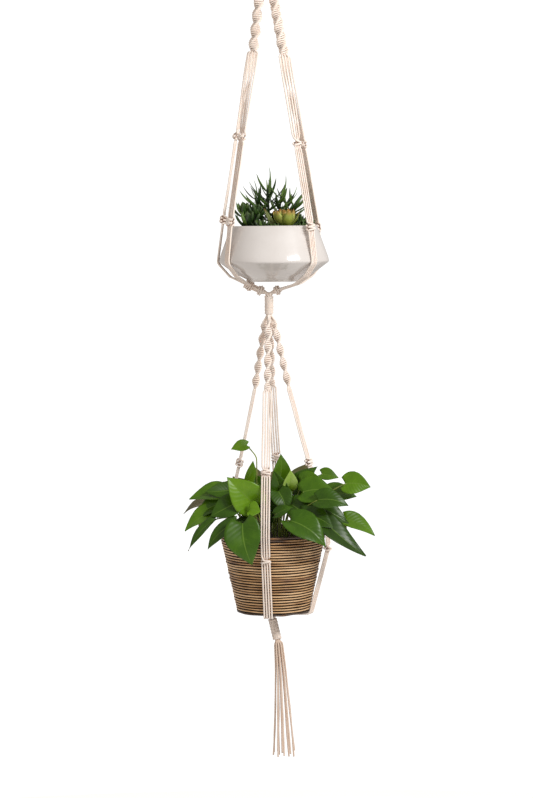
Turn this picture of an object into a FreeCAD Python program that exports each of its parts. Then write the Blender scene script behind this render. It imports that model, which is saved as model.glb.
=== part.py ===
import FreeCAD, Part
import math
import os

V = FreeCAD.Vector
os.makedirs("parts", exist_ok=True)

# Two-tier macrame hanger: ring, knotted cotton legs, a glazed bowl, a coiled rattan basket and a tassel.
# Origin: the hook's bearing point, inside the top of the ring. +Z up, -Y is the front.

# cotton cord
CORD = 3.6                 # strand diameter
ROW = 3.75                 # strand spacing where four lie side by side
ROW_WIDE = 4.5             # strand spacing where the row opens out above a knot
ROW_STRAP = 4.05           # strand spacing in the straps round the bowl
STRANDS = 4                # strands in one leg
LEG_GAP = 0.15             # end gap between a strand and its knot

# hanging ring
RING_R = 28.0              # ring centre-line radius
RING_TUBE = 5.0            # half the ring's thickness
LOOPS = 8                  # long cords folded over the ring
LOOP_STEP = 3.75           # spacing of the folded cords
LOOP_CLEAR = 0.4           # air between ring and folded cord
RING_Z = RING_TUBE - RING_R
FOLD_Z = RING_Z - RING_R   # centre of the ring's bottom, where the fold swings

# gathering wraps
WRAP_R = 8.5
BUNDLE_R = 6.6
BALL_R = 5.8
FUNNEL_R = 19.5
FUNNEL_TOP = -66.0
TOP_WRAP = (-80.0, -112.0)
MID_WRAP = (-726.0, -762.0)
BALL_IN = 2.0              # how far a bundle's rounded end sits inside a wrap

# knots
SINNET_BULGE = 7.0
SINNET_WAIST = 4.6
SINNET_END = 7.4
KNOT = (17.0, 9.0, 19.0)   # square knot: width, thickness, height

# bowl
BOWL_X = 10.6
RIM_R = 84.0
SHOULDER_R = 107.5
FOOT_R = 51.0
BOWL_RIM_Z = -590.0
SHOULDER_Z = -660.0
FOOT_Z = -698.0
FOOT_H = 3.5
BOWL_WALL = 5.0
BOWL_SOIL_Z = -607.0

# basket
BASKET_X = 3.0
BASKET_R = 104.5
BASKET_BASE_R = 70.5
BASKET_TOP = -1187.0
BASKET_BASE = -1346.5
BASKET_WALL = 6.0
COILS = 30
COIL_PROUD = 1.1           # how far each coil bulges past the waist between coils
POT_GAP = 3.0
POT_WALL = 1.6
POT_SOIL_Z = -1202.0

# tassel
TASSEL_WRAP_TOP = V(0.5, 0, -1362.0)
TASSEL_WRAP_END = V(10.0, 0, -1403.5)
TASSEL_HEAD_R = 10.0
TASSEL_STRANDS = ((1, 0.0, 0.0), (5, 3.95, 9.5), (10, 8.0, 20.0))   # count, head radius, end radius
TASSEL_END_Z = -1632.0


def save(node, shapes):
    shape = Part.makeCompound(shapes) if isinstance(shapes, list) else shapes
    shape.exportStep("parts/" + node + ".step")


def unit(vector):
    return V(vector).normalize()


def radial(azimuth):
    """Horizontal unit vector; 0 degrees faces the front, positive turns to the right."""
    a = math.radians(azimuth)
    return V(math.sin(a), -math.cos(a), 0)


def tangent(azimuth):
    a = math.radians(azimuth)
    return V(math.cos(a), math.sin(a), 0)


def aim(shape, at, direction):
    """Stands a shape built along +Z on a point and points it along a direction."""
    shape.Placement = FreeCAD.Placement(at, FreeCAD.Rotation(V(0, 0, 1), direction))
    return shape


def rod(a, b, r):
    return aim(Part.makeCylinder(r, (b - a).Length), a, b - a)


def cone(a, b, ra, rb):
    return aim(Part.makeCone(ra, rb, (b - a).Length), a, b - a)


def route(points, diameter, bend=None):
    """Tube along straight runs joined by tangent arcs; returns it and its tightest arc radius."""
    edges = []
    tightest = 1e9
    at = points[0]
    for before, corner, after in zip(points, points[1:], points[2:]):
        u = unit(corner - before)
        w = unit(after - corner)
        turn = u.getAngle(w)
        reach = 0.45 * min((corner - before).Length, (after - corner).Length)
        radius = reach / math.tan(turn / 2)
        if bend:
            radius = min(bend, radius)
            reach = radius * math.tan(turn / 2)
        tightest = min(tightest, radius)
        start = corner - u * reach
        end = corner + w * reach
        centre = corner + unit(w - u) * (radius / math.cos(turn / 2))
        middle = centre + unit(corner - centre) * radius
        if (start - at).Length > 1e-4:
            edges.append(Part.makeLine(at, start))
        edges.append(Part.Arc(start, middle, end).toShape())
        at = end
    edges.append(Part.makeLine(at, points[-1]))
    section = Part.Wire(Part.makeCircle(diameter / 2, points[0], points[1] - points[0]))
    tube = Part.Wire(edges).makePipeShell([section], True, False)
    return tube, tightest


def row(a, b, side, step_a, step_b):
    """Four strands side by side between two points."""
    strands = []
    for k in range(STRANDS):
        place = k - (STRANDS - 1) / 2
        start = a + side * (place * step_a)
        end = b + side * (place * step_b)
        gap = unit(end - start) * LEG_GAP
        strands.append(rod(start + gap, end - gap, CORD / 2))
    return strands


def row_route(points, side, step, bend):
    """Four strands side by side along one bent route."""
    strands = []
    for k in range(STRANDS):
        shift = side * ((k - (STRANDS - 1) / 2) * step)
        tube, tightest = route([p + shift for p in points], CORD, bend)
        strands.append(tube)
    return strands


def sinnet(a, b, turns):
    """Spiral of half knots, drawn as a row of bulges one half turn long each."""
    length = (b - a).Length
    pitch = length / turns
    rim = [Part.makeLine(V(0, 0, 0), V(SINNET_WAIST, 0, 0))]
    for k in range(turns):
        last = SINNET_END if k == turns - 1 else SINNET_WAIST
        low = V(SINNET_WAIST, 0, k * pitch)
        middle = V(SINNET_BULGE, 0, (k + 0.5) * pitch)
        high = V(last, 0, (k + 1) * pitch)
        if k == turns - 1:
            rim.append(Part.makeLine(low, V(last, 0, (k + 0.5) * pitch)))
            rim.append(Part.makeLine(V(last, 0, (k + 0.5) * pitch), high))
        else:
            rim.append(Part.Arc(low, middle, high).toShape())
    rim.append(Part.makeLine(V(SINNET_END, 0, length), V(0, 0, length)))
    rim.append(Part.makeLine(V(0, 0, length), V(0, 0, 0)))
    body = Part.Face(Part.Wire(rim)).revolve(V(0, 0, 0), V(0, 0, 1), 360)
    return aim(body, a, b - a)


def knot(top, bottom, side, size):
    """Rounded block from top to bottom, its width along side."""
    width, thick, _ = size
    height = (bottom - top).Length
    block = Part.makeBox(width, thick, height, V(-width / 2, -thick / 2, 0))
    block = block.makeFillet(min(width, thick) * 0.3, block.Edges)
    z = unit(bottom - top)
    x = unit(side - z * side.dot(z))
    y = z.cross(x)
    turn = FreeCAD.Rotation(x, y, z, "ZXY")
    block.Placement = FreeCAD.Placement(top, turn)
    return block


def spin(points, x=0.0):
    """Solid of revolution about a vertical axis from (radius, z) corners."""
    corners = [V(r, 0, z) for r, z in points]
    face = Part.Face(Part.makePolygon(corners + corners[:1]))
    solid = face.revolve(V(0, 0, 0), V(0, 0, 1), 360)
    solid.translate(V(x, 0, 0))
    return solid


# hanging ring and the folded cords
ring = Part.makeTorus(RING_R, RING_TUBE, V(0, 0, RING_Z), V(0, 1, 0))
save("hanging_ring", ring)

loops = []
for k in range(LOOPS):
    x = (k - (LOOPS - 1) / 2) * LOOP_STEP
    rise = RING_R - math.sqrt(RING_R ** 2 - (abs(x) + CORD / 2) ** 2)
    reach = RING_TUBE + rise + LOOP_CLEAR + CORD / 2
    top = FOLD_Z + reach
    corners = [V(x, -reach, FUNNEL_TOP), V(x, -reach, top), V(x, reach, top), V(x, reach, FUNNEL_TOP)]
    loops.append(route(corners, CORD, reach - 0.001)[0])
save("ring_folds", loops)

save("top_funnel", cone(V(0, 0, FUNNEL_TOP), V(0, 0, TOP_WRAP[0]), FUNNEL_R, BUNDLE_R))
save("top_bundle", rod(V(0, 0, TOP_WRAP[0]), V(0, 0, TOP_WRAP[1]), BUNDLE_R))


def sleeve(a, b):
    return rod(a, b, WRAP_R).cut(rod(a, b, BUNDLE_R))


save("top_wrap", sleeve(V(0, 0, TOP_WRAP[0]), V(0, 0, TOP_WRAP[1])))

# upper legs: sinnet, open strands, square knot, open strands, square knot, strap round the bowl
UPPER = {
    "fl": (-55, V(-10.5, -8.0, -130), V(-25, -19, -253), V(-49, -36.5, -417), V(-73, -54.5, -582)),
    "rl": (-98, V(-11.0, 7.5, -130), V(-27, 5, -253), V(-60.5, 9, -415), V(-87.5, 13.3, -578)),
    "fr": (44, V(10.5, -8.0, -130), V(32, -25, -260), V(56.6, -47.8, -431), V(81.4, -69.6, -594)),
    "rr": (122, V(11.0, 7.5, -130), V(35, 18, -260), V(69.5, 35, -431), V(96.5, 50.5, -594)),
}
UPPER_TURNS = 5
LEFT_GATHER = V(-36.0, -6.0, -706.5)
LEFT_KNOT = V(-15.0, -1.5, -716.5)
RIGHT_KNOT = V(15.5, -1.0, -716.0)
STRAP_R = SHOULDER_R + CORD / 2 + 1.9
STRAP_DROP = 1.5           # the straps turn in this far below the shoulder
BELLY = (87.0, -688.5)     # where a strap passes under the bowl's lower cone: radius and height
FOOT_PASS = (60.0, -703.0) # where the right straps pass under the foot


def along(a, b, distance):
    return a + unit(b - a) * distance


upper_sinnets = []
upper_knots = []
rim_knots = []
for name, (azimuth, start, sinnet_end, knot_at, rim_at) in UPPER.items():
    side = tangent(azimuth)
    out = radial(azimuth)
    half = KNOT[2] / 2
    upper_sinnets.append(sinnet(start, sinnet_end, UPPER_TURNS))
    knot_top = along(knot_at, sinnet_end, half)
    knot_low = along(knot_at, rim_at, half)
    upper_knots.append(knot(knot_top, knot_low, side, KNOT))
    shoulder = V(BOWL_X, 0, SHOULDER_Z - STRAP_DROP) + out * STRAP_R
    rim_top = along(rim_at, knot_at, half)
    rim_low = along(rim_at, shoulder, half)
    rim_knots.append(knot(rim_top, rim_low, side, KNOT))
    save("upper_strands_" + name, row(sinnet_end, knot_top, side, ROW, ROW_WIDE))
    save("cradle_strands_" + name, row(knot_low, rim_top, side, ROW, ROW_WIDE))
    belly = V(BOWL_X, 0, BELLY[1]) + out * BELLY[0]
    foot = V(BOWL_X, 0, FOOT_PASS[1]) + out * FOOT_PASS[0]
    if name == "fl":
        corners = [rim_low, shoulder, belly, LEFT_GATHER + V(-2, -5.0, 0)]
    elif name == "rl":
        corners = [rim_low, shoulder, belly, LEFT_GATHER + V(-4.0, 8.5, 0.5)]
    else:
        corners = [rim_low, shoulder, belly, foot, RIGHT_KNOT + out * 8.0 + V(0, 0, 1.5)]
    corners[0] = along(rim_low, shoulder, LEG_GAP)
    save("bowl_strap_" + name, row_route(corners, side, ROW_STRAP, 12.0))

save("upper_sinnets", upper_sinnets)
save("upper_knots", upper_knots)
save("rim_knots", rim_knots)

fan = rod(V(0, 0, TOP_WRAP[1]), V(0, 0, TOP_WRAP[1] - 4), BUNDLE_R)
for azimuth, start, sinnet_end, knot_at, rim_at in UPPER.values():
    root = V(start.x * 0.3, start.y * 0.3, TOP_WRAP[1] - 2)
    fan = fan.fuse(rod(root, start, SINNET_WAIST - 0.4))
save("top_fan", fan)

# gathering knots under the bowl and the bundle that enters the middle wrap
left_knot = knot(LEFT_GATHER + V(-4, 0, 3), LEFT_GATHER + V(6, 1, -4), V(0, 1, 0), (21.0, 11.0, 12.0))
second_knot = knot(LEFT_KNOT + V(-6.5, -1, 4), LEFT_KNOT + V(4.5, 0, -2), V(0, 1, 0), (13.0, 11.0, 12.0))
right_knot = knot(RIGHT_KNOT + V(8, 0, 3.5), RIGHT_KNOT + V(-4.5, 0, -2), V(0, 1, 0), (19.0, 11.0, 12.0))
save("gather_knots", [left_knot, second_knot, right_knot])

SWING_UP = V(0, 0, MID_WRAP[0] - BALL_IN)
SWING_LOW = V(0, 0, MID_WRAP[1] + BALL_IN)
neck = Part.makeSphere(BALL_R, SWING_UP)
neck = neck.fuse(rod(SWING_UP, V(0, 0, -719.5), BALL_R - 0.3))
neck = neck.fuse(rod(V(0, 0, -720.5), LEFT_KNOT + V(3, 0, -1), 4.6))
neck = neck.fuse(rod(V(0, 0, -720.5), RIGHT_KNOT + V(-3, 0, -1), 4.6))
bridge = rod(LEFT_GATHER + V(4, 1, -3), LEFT_KNOT + V(-5, -1, 3), 4.6)
save("gather_neck", neck)
save("gather_bridge", bridge)

save("middle_wrap", sleeve(V(0, 0, MID_WRAP[0]), V(0, 0, MID_WRAP[1])))
save("middle_bundle", rod(SWING_UP - V(0, 0, BALL_R + 0.6), SWING_LOW + V(0, 0, BALL_R + 0.6), BUNDLE_R))

# lower legs
LOWER = {
    "front": (-8, 9.8, V(-4.9, -37.0, -908), V(-9.4, -71.4, -1063)),
    "right": (78, 10.0, V(37.1, -6.5, -904), V(75.0, -12.0, -1052)),
    "rear": (172, 9.8, V(4.5, 37.0, -904), V(11.5, 71.0, -1050)),
    "left": (-120, 10.0, V(-29.5, 17.0, -909), V(-61.3, 35.4, -1057)),
}
LOWER_TURNS = 5
LOWER_START = -779.0
RIM_GAP = 2.6
WALL_GAP = 2.9
EDGE_DROP = 3.2            # how far below the base the straps turn in
BASKET_KNOT_Z = -1232.0
RIGHT_LIFT = 12.0          # the right knot sits this much higher than the others
RIGHT_WALL = 5.0           # its strands hang clear of the coils
RIGHT_RIM = 4.5
GATHER_R = 17.0
GATHER_TOP = -1348.6
GATHER_END = -1357.0
TASSEL_LEAN = unit(TASSEL_WRAP_END - TASSEL_WRAP_TOP)
SWING_TASSEL = TASSEL_WRAP_TOP + TASSEL_LEAN * BALL_IN


def basket_radius(z):
    share = (BASKET_TOP - z) / (BASKET_TOP - BASKET_BASE)
    return BASKET_R + (BASKET_BASE_R - BASKET_R) * share


lower_sinnets = []
lower_knots = []
basket_knots = []
lower_fan = Part.makeSphere(BALL_R, SWING_LOW)
lower_fan = lower_fan.fuse(rod(SWING_LOW, SWING_LOW - V(0, 0, 8), BALL_R - 0.3))
for name, (azimuth, start_r, sinnet_end, knot_at) in LOWER.items():
    side = tangent(azimuth)
    out = radial(azimuth)
    start = out * start_r + V(0, 0, LOWER_START)
    lower_sinnets.append(sinnet(start, sinnet_end, LOWER_TURNS))
    lower_fan = lower_fan.fuse(cone(SWING_LOW - V(0, 0, 6), start, 3.6, SINNET_WAIST))
    rim = out * (BASKET_R + RIM_GAP + CORD / 2) + V(BASKET_X, 0, BASKET_TOP)
    wall = out * (basket_radius(BASKET_KNOT_Z) + WALL_GAP + KNOT[1] / 2) + V(BASKET_X, 0, BASKET_KNOT_Z)
    if name == "right":
        wall = out * (BASKET_R + RIGHT_WALL) + V(BASKET_X, 0, BASKET_KNOT_Z + RIGHT_LIFT)
        rim = out * (BASKET_R + RIGHT_RIM) + V(BASKET_X, 0, BASKET_TOP - 1)
    edge = out * (BASKET_BASE_R + WALL_GAP + CORD / 2) + V(BASKET_X, 0, BASKET_BASE - EDGE_DROP)
    inner = out * (GATHER_R - 2.5) + V(0, 0, GATHER_TOP - CORD / 2 - 1.0)
    half = KNOT[2] / 2
    knot_top = along(knot_at, sinnet_end, half)
    knot_low = along(knot_at, rim, half)
    lower_knots.append(knot(knot_top, knot_low, side, KNOT))
    wall_top = along(wall, rim, half * 0.8)
    wall_low = along(wall, edge, half * 0.8)
    basket_knots.append(knot(wall_top, wall_low, side, KNOT))
    save("lower_strands_" + name, row(sinnet_end, knot_top, side, ROW, ROW_WIDE))
    corners = [along(knot_low, rim, LEG_GAP), rim, along(wall_top, rim, LEG_GAP)]
    save("rim_strands_" + name, row_route(corners, side, ROW, 14.0))
    corners = [along(wall_low, edge, LEG_GAP), edge, inner]
    save("basket_strap_" + name, row_route(corners, side, ROW, 5.0))

save("lower_sinnets", lower_sinnets)
save("lower_knots", lower_knots)
save("basket_knots", basket_knots)
save("lower_fan", lower_fan)

gather = cone(V(0, 0, GATHER_TOP), V(0, 0, GATHER_END), GATHER_R, BALL_R)
gather = gather.fuse(rod(V(0, 0, GATHER_END + 1), SWING_TASSEL, BALL_R - 0.3))
gather = gather.fuse(Part.makeSphere(BALL_R, SWING_TASSEL))
save("base_gather", gather)

# glazed bowl and its planting
bowl_outer = [(FOOT_R, FOOT_Z), (FOOT_R + 2, FOOT_Z + FOOT_H), (78, -682), (SHOULDER_R, SHOULDER_Z)]
bowl_outer += [(106.0, -655), (100.5, -636), (93.5, -612), (RIM_R, BOWL_RIM_Z)]
bowl_inner = [(RIM_R - BOWL_WALL, BOWL_RIM_Z), (88.0, -612), (95.0, -636), (101.0, -657)]
bowl_inner += [(76.0, -676), (50.0, -688), (0, -688)]
save("bowl", spin(bowl_outer + bowl_inner + [(0, -694), (FOOT_R - 5, -694), (FOOT_R - 5, FOOT_Z)], BOWL_X))
soil_side = [(85.0, BOWL_SOIL_Z), (93.2, -636), (98.4, -656), (75.0, -674.6), (49.5, -686.6), (0, -686.6)]
save("bowl_soil", spin([(0, BOWL_SOIL_Z)] + soil_side, BOWL_X))


def spindle(length, r):
    """Pointed leaf body, widest a third of the way up."""
    half = Part.Arc(V(r * 0.35, 0, 0), V(r, 0, length * 0.4), V(0.25, 0, length)).toShape()
    edges = [Part.makeLine(V(0, 0, 0), V(r * 0.35, 0, 0)), half]
    edges += [Part.makeLine(V(0.25, 0, length), V(0, 0, length)), Part.makeLine(V(0, 0, length), V(0, 0, 0))]
    return Part.Face(Part.Wire(edges)).revolve(V(0, 0, 0), V(0, 0, 1), 360)


def rosette(centre, length, r, rings):
    """Fleshy rosette: rings of (count, angle from upright in degrees, length share)."""
    plant = Part.makeSphere(r * 1.3, centre).fuse(rod(V(centre.x, centre.y, BOWL_SOIL_Z - 1), centre, r * 0.6))
    for level, (count, lean, share) in enumerate(rings):
        for k in range(count):
            way = radial(360 * (k + 0.5 * (level % 2)) / count)
            tilt = math.radians(lean)
            direction = way * math.sin(tilt) + V(0, 0, math.cos(tilt))
            leaf = aim(spindle(length * share, r), centre + direction * r * 0.4, direction)
            plant = plant.fuse(leaf)
    return plant


def on_bowl(x, y, lift=0.0):
    return V(BOWL_X + x, y, BOWL_SOIL_Z + lift)


PALE_RINGS = ((5, 15, 0.8), (7, 42, 0.95), (8, 68, 1.0))
DARK_RINGS = ((4, 18, 0.8), (6, 48, 1.0), (7, 75, 0.9))
save("pale_rosette", rosette(on_bowl(34, -36, 22), 27, 6.0, PALE_RINGS))
dark_spots = [(-47, -30, 25, 29), (-24, -55, 19, 20), (66, -4, 20, 18), (-48, 22, 24, 27), (48, 40, 22, 24)]
dark = [rosette(on_bowl(x, y, h), size, size * 0.17, DARK_RINGS) for x, y, h, size in dark_spots]
save("dark_rosettes", dark)
save("yellow_blade", aim(spindle(52, 3.4), on_bowl(9, -33, -2), V(-0.5, -0.1, 1)))

STEMS = (
    (V(-6, 2, 0), V(-9, -2, 92)), (V(-12, -4, 0), V(-38, -10, 66)), (V(2, -6, 0), V(20, -14, 82)),
    (V(8, 4, 0), V(54, 6, 66)), (V(-2, 10, 0), V(-16, 36, 74)), (V(6, 12, 0), V(26, 38, 66)),
)
BLADE_LEVELS = (0.45, 0.6, 0.74, 0.86)
sprays = []
for number, (foot, tip) in enumerate(STEMS):
    base = on_bowl(foot.x, foot.y, -1)
    top = base + (tip - foot)
    spray = cone(base, top, 2.6, 1.4)
    up = unit(top - base)
    for level, share in enumerate(BLADE_LEVELS):
        for k in range(3):
            way = radial(120 * k + 55 * level + 31 * number)
            direction = unit(up * 0.95 + way * 0.75)
            leaf = aim(spindle(26, 2.3), along(base, top, (top - base).Length * share), direction)
            spray = spray.fuse(leaf)
    spray = spray.fuse(aim(spindle(22, 2.2), along(top, base, 3), up))
    sprays.append(spray)
save("spiky_stems", sprays)

# rattan basket, inner pot and planting
coil_h = (BASKET_TOP - BASKET_BASE) / COILS
edges = []
for k in range(COILS):
    z0 = BASKET_BASE + k * coil_h
    z1 = z0 + coil_h
    zm = (z0 + z1) / 2
    low = V(basket_radius(z0) - COIL_PROUD, 0, z0)
    high = V(basket_radius(z1) - COIL_PROUD, 0, z1)
    edges.append(Part.Arc(low, V(basket_radius(zm), 0, zm), high).toShape())
inner_top = V(BASKET_R - COIL_PROUD - BASKET_WALL, 0, BASKET_TOP)
inner_low = V(BASKET_BASE_R - BASKET_WALL, 0, BASKET_BASE + BASKET_WALL)
edges.append(Part.makeLine(high, inner_top))
edges.append(Part.makeLine(inner_top, inner_low))
edges.append(Part.makeLine(inner_low, V(0, 0, inner_low.z)))
edges.append(Part.makeLine(V(0, 0, inner_low.z), V(0, 0, BASKET_BASE)))
edges.append(Part.makeLine(V(0, 0, BASKET_BASE), V(BASKET_BASE_R - COIL_PROUD, 0, BASKET_BASE)))
basket = Part.Face(Part.Wire(edges)).revolve(V(0, 0, 0), V(0, 0, 1), 360)
basket.translate(V(BASKET_X, 0, 0))
save("basket", basket)

pot_low = BASKET_BASE + BASKET_WALL
pot_top_r = inner_top.x - POT_GAP
pot_low_r = inner_low.x - POT_GAP
pot_top = BASKET_TOP - 6.0
pot = [(pot_low_r, pot_low), (pot_top_r, pot_top), (pot_top_r - POT_WALL, pot_top)]
pot += [(pot_low_r - POT_WALL, pot_low + POT_WALL), (0, pot_low + POT_WALL), (0, pot_low)]
save("nursery_pot", spin(pot, BASKET_X))
share = (POT_SOIL_Z - pot_low) / (pot_top - pot_low)
soil_r = pot_low_r + (pot_top_r - pot_low_r) * share - POT_WALL - 0.3
soil = [(0, POT_SOIL_Z), (soil_r, POT_SOIL_Z), (pot_low_r - POT_WALL - 0.5, pot_low + POT_WALL + 0.2)]
save("pot_soil", spin(soil + [(0, pot_low + POT_WALL + 0.2)], BASKET_X))

# trailing plant: each leaf is base, tip, width, and the way its upper face looks
LEAF_T = 1.4
LEAVES = (
    (V(-31, -62, -1129), V(-85, -74, -1073), 66, V(-0.3, -1, 0.35)),
    (V(-41, -86, -1135), V(-20, -92, -1139), 34, V(-0.1, -1, 0.5)),
    (V(-55, -104, -1159), V(-37, -116, -1239), 72, V(-0.1, -1, 0.25)),
    (V(-92, -6, -1111), V(-160, -14, -1122), 50, V(-0.2, -0.75, 0.9)),
    (V(-107, -38, -1143), V(-168, -52, -1180), 46, V(-0.5, -0.8, 0.7)),
    (V(-108, -68, -1155), V(-161, -80, -1215), 22, V(-0.6, -0.8, 0.5)),
    (V(-69, -86, -1161), V(-123, -100, -1210), 32, V(-0.5, -1, 0.4)),
    (V(-58, -34, -1126), V(-97, -58, -1151), 44, V(-0.2, -0.9, 0.8)),
    (V(-46, 6, -1019), V(-78, 4, -1027), 24, V(0, -1, 0.5)),
    (V(-44, -20, -1088), V(-34, -24, -1046), 22, V(0.3, -1, 0.2)),
    (V(16, 16, -1096), V(20, 10, -1036), 40, V(0.35, -1, 0.1)),
    (V(34, -26, -1101), V(38, -34, -1064), 30, V(0.2, -1, 0.3)),
    (V(44, -10, -1109), V(91, -34, -1058), 40, V(0.1, -1, 0.4)),
    (V(14, -40, -1105), V(30, -54, -1145), 44, V(0.1, -1, 0.5)),
    (V(61, -52, -1106), V(124, -62, -1105), 56, V(0.1, -1, 0.6)),
    (V(90, -82, -1118), V(149, -88, -1129), 44, V(0.1, -1, 0.5)),
    (V(100, 18, -1078), V(134, 14, -1086), 30, V(0.1, -0.8, 0.7)),
    (V(144, -46, -1091), V(194, -50, -1098), 46, V(0.2, -1, 0.3)),
    (V(146, 14, -1168), V(204, 10, -1201), 42, V(0.5, -0.8, 0.5)),
    (V(96, -76, -1154), V(182, -88, -1227), 48, V(0.6, -0.9, 0.5)),
    (V(37, -96, -1156), V(105, -116, -1206), 60, V(0.25, -1, 0.6)),
    (V(8, -62, -1148), V(43, -72, -1133), 28, V(0, -0.8, 0.9)),
    (V(50, 94, -1150), V(86, 112, -1214), 58, V(0.2, 1, 0.5)),
    (V(-38, 82, -1136), V(-76, 100, -1090), 60, V(-0.2, 1, 0.4)),
    (V(88, 66, -1120), V(146, 94, -1136), 56, V(0.4, 0.8, 0.7)),
    (V(-104, 84, -1150), V(-146, 118, -1200), 52, V(-0.5, 0.8, 0.6)),
    (V(-118, 30, -1134), V(-174, 42, -1158), 48, V(-0.4, 0.5, 0.9)),
    (V(-34, 108, -1172), V(-54, 122, -1238), 56, V(-0.2, 1, 0.4)),
    (V(48, 40, -1100), V(76, 60, -1060), 42, V(0.2, 1, 0.3)),
    (V(-24, 44, -1102), V(-36, 62, -1064), 40, V(-0.2, 1, 0.3)),
    (V(104, 58, -1166), V(150, 78, -1218), 50, V(0.5, 0.7, 0.6)),
)
leaves = []
stalks = []
for base, tip, width, face in LEAVES:
    u = unit(tip - base)
    n = unit(face - u * face.dot(u))
    v = n.cross(u)
    length = (tip - base).Length
    halves = []
    for hand in (1, -1):
        outline = ((0, 0), (-0.1, 0.2), (0.06, 0.44), (0.32, 0.49), (0.66, 0.3), (1, 0))
        curve = Part.BSplineCurve()
        curve.interpolate([base + u * (a * length) + v * (hand * b * width) for a, b in outline])
        halves.append(curve.toShape())
    plate = Part.Face(Part.Wire([halves[0], halves[1]]))
    plate.translate(n * (-LEAF_T / 2))
    leaves.append(plate.extrude(n * LEAF_T))
    outward = V(base.x, base.y, 0)
    foot = unit(outward) * min(52, 12 + outward.Length * 0.36) + V(0, 0, POT_SOIL_Z)
    stalks.append(rod(foot + V(0, 0, 0.1), base - u * 0.6 - n * 2.3, 1.1))
save("trailing_leaves", leaves)
save("leaf_stalks", stalks)

# tassel: wrap on a hinge under the basket, loose strands on another under the wrap
SWAY = TASSEL_WRAP_END - TASSEL_LEAN * BALL_IN
save("tassel_wrap", sleeve(TASSEL_WRAP_TOP, TASSEL_WRAP_END))
save("tassel_bundle", rod(SWING_TASSEL + TASSEL_LEAN * (BALL_R + 0.8), SWAY - TASSEL_LEAN * (BALL_R + 0.6), BUNDLE_R))
head_top = SWAY + TASSEL_LEAN * 8.5
head_end = SWAY + TASSEL_LEAN * 12.0
head = Part.makeSphere(BALL_R, SWAY).fuse(rod(SWAY, head_top, BALL_R - 0.6))
save("tassel_head", head.fuse(rod(head_top, head_end, TASSEL_HEAD_R)))

across = V(TASSEL_LEAN.z, 0, -TASSEL_LEAN.x) * -1
tassel = []
lengths = []
for ring_number, (count, head_r, end_r) in enumerate(TASSEL_STRANDS):
    for k in range(count):
        a = 2 * math.pi * (k + 0.5) / count
        start = head_end + across * (head_r * math.cos(a)) + V(0, head_r * math.sin(a), 0)
        end_z = TASSEL_END_Z + 5 * math.sin(2.4 * k + ring_number)
        drift = 9.0
        points = [start]
        for step in range(1, 6):
            share = step / 5
            spread = head_r + (end_r - head_r) * share ** 1.2
            wave = 1.2 * (1 + math.sin(2.6 * step + 1.9 * k)) * share * (ring_number > 0)
            x = head_end.x + drift * share ** 0.6 + (spread + wave) * math.cos(a)
            y = (spread + wave) * math.sin(a)
            points.append(V(x, y, head_end.z + (end_z - head_end.z) * share))
        tube, tightest = route(points, CORD)
        tassel.append(tube)
        lengths.append((tube.Volume / (math.pi * CORD * CORD / 4), tightest))
save("tassel_strands", tassel)
print("tassel strand lengths", [round(a) for a, b in lengths])
print("tassel strand radii", [round(b) for a, b in lengths])
print("joints", FOLD_Z, SWING_UP, SWING_LOW, SWING_TASSEL, SWAY)
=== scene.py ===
import math
import random

import bmesh
import bpy
from mathutils import Matrix, Vector, noise


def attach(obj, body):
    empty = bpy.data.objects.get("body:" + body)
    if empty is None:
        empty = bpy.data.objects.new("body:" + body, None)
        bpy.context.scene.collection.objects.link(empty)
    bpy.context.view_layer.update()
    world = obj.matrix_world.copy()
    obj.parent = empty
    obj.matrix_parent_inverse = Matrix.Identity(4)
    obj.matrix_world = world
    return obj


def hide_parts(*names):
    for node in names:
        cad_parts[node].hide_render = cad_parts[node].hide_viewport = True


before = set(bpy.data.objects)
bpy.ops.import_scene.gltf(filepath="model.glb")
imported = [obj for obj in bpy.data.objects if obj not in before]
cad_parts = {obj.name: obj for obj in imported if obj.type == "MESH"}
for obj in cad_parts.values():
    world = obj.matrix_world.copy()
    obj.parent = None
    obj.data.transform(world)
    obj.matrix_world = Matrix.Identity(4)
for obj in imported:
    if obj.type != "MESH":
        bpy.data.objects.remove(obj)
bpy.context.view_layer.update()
scene = bpy.context.scene
UP = Vector((0, 0, 1))


# Camera. It stands level with the rim of the bowl, 4.5 m in front, and looks down a little so that
# the tassel is in view. The slight roll is the camera's, because the planter hangs plumb.
CAMERA_AT = Vector((-0.0068, -4.5, -0.592))
CAMERA_LENS = 104.0
CAMERA_TILT = 4.27
CAMERA_ROLL = -0.56

camera = bpy.data.objects.new("camera", bpy.data.cameras.new("camera"))
scene.collection.objects.link(camera)
camera.data.lens = CAMERA_LENS
camera.data.sensor_width = 36
camera.location = CAMERA_AT
tilt = Matrix.Rotation(math.radians(90 - CAMERA_TILT), 4, "X")
camera.rotation_euler = (tilt @ Matrix.Rotation(math.radians(CAMERA_ROLL), 4, "Z")).to_euler()
scene.camera = camera


# Cotton strands. The hanger is worked from sixteen strands of natural three-ply cotton cord, 3.6 mm
# thick and loosely laid. Every strand below is a tube whose section is the three plies, turning
# once in a lay length as it follows its route.
MM = 0.001
CORD_D = 3.6 * MM
LAY = 16 * MM
PLY_DEPTH = 0.04
SECTION_POINTS = 9
KNOT_SWELL = 0.13          # soft cord stands fatter where a knot turns it
FULL_BEND = 110.0          # bend in radians a metre at which it is fattest
STRAND_STEP = 1.25 * MM


def mm(x, y, z):
    """A point given in millimetres, in metres."""
    return Vector((x, y, z)) * MM


def linear(hex_colour):
    """An sRGB hex colour as linear red, green, blue and alpha."""
    values = [int(hex_colour[i:i + 2], 16) / 255 for i in (1, 3, 5)]
    return [v / 12.92 if v <= 0.04045 else ((v + 0.055) / 1.055) ** 2.4 for v in values] + [1.0]


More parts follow.
